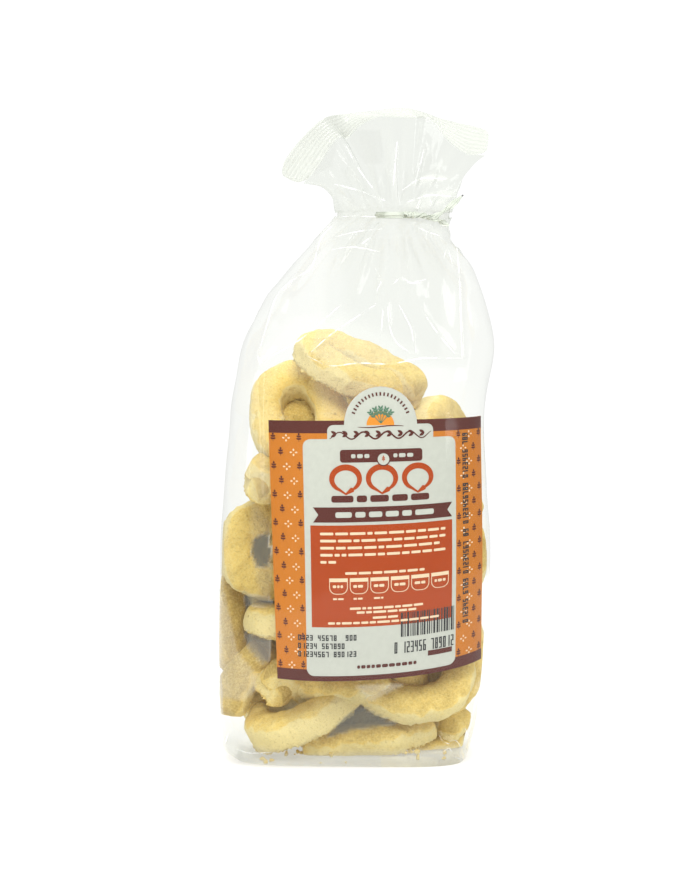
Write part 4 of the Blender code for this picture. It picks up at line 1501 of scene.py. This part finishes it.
def crust_relief(points, rough_edge, seed):
    """The crust's unevenness, and the crumbly lower edge where rough_edge is 1."""
    coarse, fine = ripples(points, 0.0021, seed + 3, 40), ripples(points, 0.0010, seed + 7, 40)
    relief = SWELL * ripples(points, 0.014, seed + 4) + DIMPLE * ripples(points, 0.0040, seed + 5)
    return relief + CRUMBLY * (np.clip(coarse, -0.2, 1.0) + 0.5 * fine) * rough_edge


def local_biscuit(spec, seed):
    """A biscuit in its own frame, crest up along +Z and crossed ends towards +X: its points, how brown each
    one is, and the middles of the spheres that stand for it.
    """
    random = np.random.default_rng(seed)
    path, share, run = kept_strand(spec, random)
    side = sideways(path)
    blunt, cap, half_wide, tall = strand_sizes(spec, share, run, seed)
    wave = 0.0006 * ripples(np.column_stack([path, 0 * share]), 0.040, seed + 2)
    lift = strand_lift(share, spec.height) + wave
    angle = 2 * np.pi * np.arange(STRAND_AROUND) / STRAND_AROUND
    squareness = np.where(np.sin(angle) > 0, *CRUST_SQUARENESS)
    out = signed_power(np.cos(angle), 2 / squareness)
    up = signed_power(np.sin(angle), 2 / squareness)
    level = np.where(up > 0, WIDEST + (1 - WIDEST) * up, WIDEST + WIDEST * up)
    points = np.zeros((STRAND_STEPS, STRAND_AROUND, 3))
    for axis in (0, 1):
        points[:, :, axis] = path[:, axis, None] + side[:, axis, None] * half_wide[:, None] * out
    points[:, :, 2] = lift[:, None] + tall[:, None] * level
    outward = unit(points - np.column_stack([path, lift + 0.4 * tall])[:, None, :])
    flat = points.reshape(-1, 3)
    rough_edge = np.exp(-((level - 0.07) / 0.10) ** 2) * (np.abs(out) > 0.5)
    relief = crust_relief(flat, np.tile(rough_edge, STRAND_STEPS), seed)
    relief += blisters(flat, random, spec)
    flat = flat + outward.reshape(-1, 3) * (relief * np.repeat(0.3 + 0.7 * cap, STRAND_AROUND))[:, None]
    browning = local_browning(np.tile(up, STRAND_STEPS), flat, seed, np.repeat(blunt, STRAND_AROUND))
    at = np.linspace(6, STRAND_STEPS - 7, CHAIN).astype(int)
    chain = np.column_stack([path[at], lift[at]])
    return flat - np.array((0.0, 0.0, spec.height / 2)), browning, chain


def blisters(points, random, spec):
    """Low round blisters here and there on the crust."""
    raised = np.zeros(len(points))
    for place in points[random.integers(0, len(points), BLISTERS)]:
        if place[2] < 0.3 * spec.height:
            continue
        size, tall = random.uniform(*BLISTER_SIZES), random.uniform(*BLISTER_HEIGHTS)
        away = np.linalg.norm(points - place, axis=1)
        raised += tall * np.exp(-((away / size) ** 4))
    return raised


def local_browning(up, points, seed, blunt):
    """0 on the pale flank, up to 1 on the crest, and in between underneath."""
    crest = smooth_step(up + 0.16 * ripples(points, 0.009, seed + 6), 0.58, 0.80)
    under = 0.75 * smooth_step(up, -0.55, -0.90)
    return np.clip(0.90 * crest + under + 0.30 * blunt, 0.0, 1.2)


def facing(spec):
    """The rotation whose columns are the biscuit's long way, its side and its crest, in the frame."""
    crest = view_vector(*spec.crest).normalized()
    long = view_vector(*spec.long)
    long = (long - crest * long.dot(crest)).normalized()
    return np.array([long, crest.cross(long), crest]).T


def hidden_biscuits():
    """The rest of the heap, each turned a little at random before the settling. Their places are in metres,
    and they have no distance forward.
    """
    random = np.random.default_rng(11)
    made = []
    for across, forward, height, crest in HIDDEN:
        place = (RIGHT * across + TOWARD * forward + UP * height) * MM
        crest = np.array(crest) + 0.25 * random.normal(size=3)
        made.append(Biscuit(place, None, tuple(crest), tuple(random.normal(size=3))))
    return made


def inside_push(centres, radius):
    """How far each sphere has to move to be inside the film."""
    height = np.clip(centres[:, 2], 0.0, BODY_LEVELS[-1][0])
    middle, half_width, half_depth, squareness = smooth_between(BODY_LEVELS, height).T
    turn = BASE_TWIST * np.maximum(0.0, 1.0 - height / TWIST_REACH) ** 2
    cos, sin = np.cos(turn), np.sin(turn)
    room = radius + WALL_ROOM
    wide, deep = np.maximum(half_width - room, 0.004), np.maximum(half_depth - room, 0.004)
    x, y = centres[:, 0] - middle, centres[:, 1]
    x, y = (x * cos + y * sin) / wide, (y * cos - x * sin) / deep
    reach = (np.abs(x) ** squareness + np.abs(y) ** squareness) ** (1 / squareness)
    back = np.where(reach > 1, 1 / np.maximum(reach, 1e-9) - 1, 0.0)
    x, y = x * back * wide, y * back * deep
    push = np.zeros_like(centres)
    push[:, 0], push[:, 1] = x * cos - y * sin, x * sin + y * cos
    push[:, 2] = np.maximum(0.0, room - centres[:, 2])
    return push


def pressed_inside(points):
    """The points, with those that the film would cut moved in to just behind it."""
    return points + inside_push(points, SKIN_ROOM - WALL_ROOM)


def settle(biscuits, places, turns, chains, radii):
    """Moves and turns the biscuits that don't show until they fit among the others and inside the film."""
    count = len(biscuits)
    shown = np.array([spec.forward is not None for spec in biscuits])
    owner = np.repeat(np.arange(count), CHAIN)
    radius = np.repeat(radii, CHAIN)
    other = owner[:, None] != owner[None, :]
    give = np.where(shown[owner][None], 1.0, 0.5)
    for step in range(SETTLE_STEPS):
        arms = np.concatenate([chains[k] @ turns[k].T for k in range(count)])
        centres = arms + places[owner]
        gap = centres[:, None] - centres[None]
        away = np.linalg.norm(gap, axis=2)
        overlap = np.where(other, np.maximum(radius[:, None] + radius[None] - away, 0.0), 0.0)
        push = ((overlap * give / np.maximum(away, 1e-6))[:, :, None] * gap).sum(axis=1)
        wall = inside_push(centres, radius)
        outside = np.linalg.norm(wall, axis=1) > 1e-6
        weight = (overlap > 0).any(axis=1) + WALL_WEIGHT * outside
        pushed = push + WALL_WEIGHT * wall
        falling = FALL * max(0.0, 1 - FALL_ENDS_EARLY * step / SETTLE_STEPS)
        for k in np.where(~shown)[0]:
            mine = owner == k
            hits = max(1.0, weight[mine].sum())
            shove = pushed[mine].sum(axis=0) / hits
            places[k] += shove
            places[k, 2] -= falling
            twist = np.cross(arms[mine], pushed[mine]).sum(axis=0) / hits / TURN_ARM * TURN_SHARE
            size = np.linalg.norm(twist)
            if size > 1e-9:
                spin = Matrix.Rotation(min(size, MOST_TURN), 3, Vector(twist / size))
                turns[k] = np.array(spin) @ turns[k]
    return places, turns


def make_biscuits():
    biscuits = list(SHOWN) + hidden_biscuits()
    made = [local_biscuit(spec, 100 + 13 * k) for k, spec in enumerate(biscuits)]
    places = []
    for spec in biscuits:
        shown = spec.forward is not None
        places.append(photo_place(*spec.place, spec.forward) if shown else spec.place)
    places = np.array(places, float)
    turns = [facing(spec) for spec in biscuits]
    chains = [chain for _, _, chain in made]
    radii = np.array([spec.height / 2 for spec in biscuits])
    places, turns = settle(biscuits, places, turns, chains, radii)
    crust = biscuit_material()
    faces = tube_faces(STRAND_STEPS, STRAND_AROUND)
    for k, (spec, (points, browning, _)) in enumerate(zip(biscuits, made)):
        placed = pressed_inside(points @ turns[k].T + places[k])
        # The browning carries each biscuit's painted light and shade along with its baking.
        looks = {"browning": browning + spec.bake}
        add_piece(f"tarallo_{k + 1}", placed, faces, crust, "biscuit", attributes=looks)
    return crust


CRUMBS, CRUMB_RADII = 60, (0.0004, 0.0012)
CRUMBS_ACROSS, CRUMBS_DEEP = (-0.044, 0.042), (-0.024, 0.024)  # where they lie


def make_crumbs(crust):
    """Small broken bits at the bottom of the bag."""
    random = np.random.default_rng(21)
    points, faces = [], []
    for k in range(CRUMBS):
        shape = bmesh.new()
        bmesh.ops.create_icosphere(shape, subdivisions=2, radius=random.uniform(*CRUMB_RADII))
        x, y = random.uniform(*CRUMBS_ACROSS), random.uniform(*CRUMBS_DEEP)
        stretch = random.uniform(0.6, 1.3, 3)
        shift = Vector((x, y, 0.0024))
        for vertex in shape.verts:
            place = np.array(vertex.co) * stretch
            vertex.co = Vector(place * (1 + 0.35 * ripples(place[None], 0.0012, 300 + k, 12)[0])) + shift
        lowest = min(vertex.co.z for vertex in shape.verts)
        faces += [[len(points) + vertex.index for vertex in face.verts] for face in shape.faces]
        points += [vertex.co - Vector((0, 0, lowest - 0.0004)) for vertex in shape.verts]
        shape.free()
    browning = 0.4 + 0.4 * ripples(np.array(points), 0.004, 22)
    add_piece("crumbs", points, faces, crust, "biscuit", attributes={"browning": browning})


# Stage, light and camera


FLOOR_RADIUS, FLOOR_DROP = 0.5, 0.0002
FLOOR_GREY, FLOOR_GLOW = (0.58, 0.58, 0.58, 1), 0.42
WORLD_SEEN, WORLD_LIGHTS, MIRRORED_SHARE = 1.05, 0.42, 0.40
# Each soft light: where it stands as the photograph sees it, its width and height, its power in watts, and
# whether the film mirrors it.
SOFTBOXES = (
    ("key", (0.02, 0.92, 0.88), 0.55, 0.55, 13.6, False),
    ("front_fill", (-0.15, 0.20, 1.10), 0.70, 0.50, 2.2, False),
    ("left_side", (-0.95, 0.45, 0.20), 0.25, 0.75, 1.5, True),
    ("right_fill", (0.95, 0.50, 0.45), 0.4, 0.7, 3.0, True),
    ("top_back", (-0.10, 0.98, -0.45), 0.6, 0.4, 6.5, False),
)


def make_stage():
    mesh = bpy.data.meshes.new("floor")
    shape = bmesh.new()
    bmesh.ops.create_circle(shape, cap_ends=True, segments=96, radius=FLOOR_RADIUS)
    shape.to_mesh(mesh)
    shape.free()
    made, tree = new_material("floor_white")
    sockets = {
        "Base Color": FLOOR_GREY,
        "Roughness": 0.7,
        "Emission Color": (1, 1, 1, 1),
        "Emission Strength": FLOOR_GLOW,
    }
    finish_plain(tree, sockets)
    mesh.materials.append(made)
    floor = add_object("floor", mesh)
    floor.location = (0.0, 0.0, -FLOOR_DROP)


def make_world():
    """White behind the object, and a softer grey for what lights it and what it mirrors."""
    world = bpy.data.worlds.new("studio")
    world.use_nodes = True
    tree = world.node_tree
    tree.nodes.clear()
    seen = add_node(tree, "Background", {"Color": (1, 1, 1, 1), "Strength": WORLD_SEEN}).outputs[0]
    soft = add_node(tree, "Background", {"Color": (0.98, 1.0, 1.0, 1), "Strength": WORLD_LIGHTS}).outputs[0]
    path = add_node(tree, "LightPath").outputs
    sockets = {0: path["Is Glossy Ray"], 1: MIRRORED_SHARE, 2: path["Is Camera Ray"]}
    sharp = add_node(tree, "Math", sockets, operation="MULTIPLY_ADD").outputs[0]
    both = add_node(tree, "MixShader", {"Fac": sharp, 1: soft, 2: seen}).outputs[0]
    add_node(tree, "OutputWorld", {"Surface": both})
    bpy.context.scene.world = world


def add_softbox(name, place, width, height, power, mirrored):
    """A rectangular soft light that faces the bag, placed as the photograph sees it."""
    light = bpy.data.lights.new(name, "AREA")
    light.shape = "RECTANGLE"
    light.size, light.size_y = width, height
    light.energy = power
    item = add_object(name, light)
    item.location = view_vector(*place)
    item.visible_glossy = mirrored
    look = Vector((0.0, 0.0, BAG_HEIGHT * 0.4)) - item.location
    item.rotation_euler = look.to_track_quat("-Z", "Y").to_euler()


def make_lights():
    for softbox in SOFTBOXES:
        add_softbox(*softbox)


def make_camera():
    data = bpy.data.cameras.new("camera")
    data.sensor_fit = "HORIZONTAL"
    data.sensor_width = SENSOR_WIDTH
    data.lens = FOCAL_PIXELS * SENSOR_WIDTH / IMAGE_WIDTH
    camera = add_object("camera", data)
    camera.location = EYE
    camera.rotation_euler = (AIM - EYE).to_track_quat("-Z", "Y").to_euler()
    bpy.context.scene.camera = camera
    bpy.context.scene.view_settings.view_transform = "Standard"


make_camera()
make_stage()
make_world()
make_lights()
film_surface = make_film()
make_creases(film_surface)
make_label_sheet()
make_print()
make_tie()
crust_material = make_biscuits()
make_crumbs(crust_material)
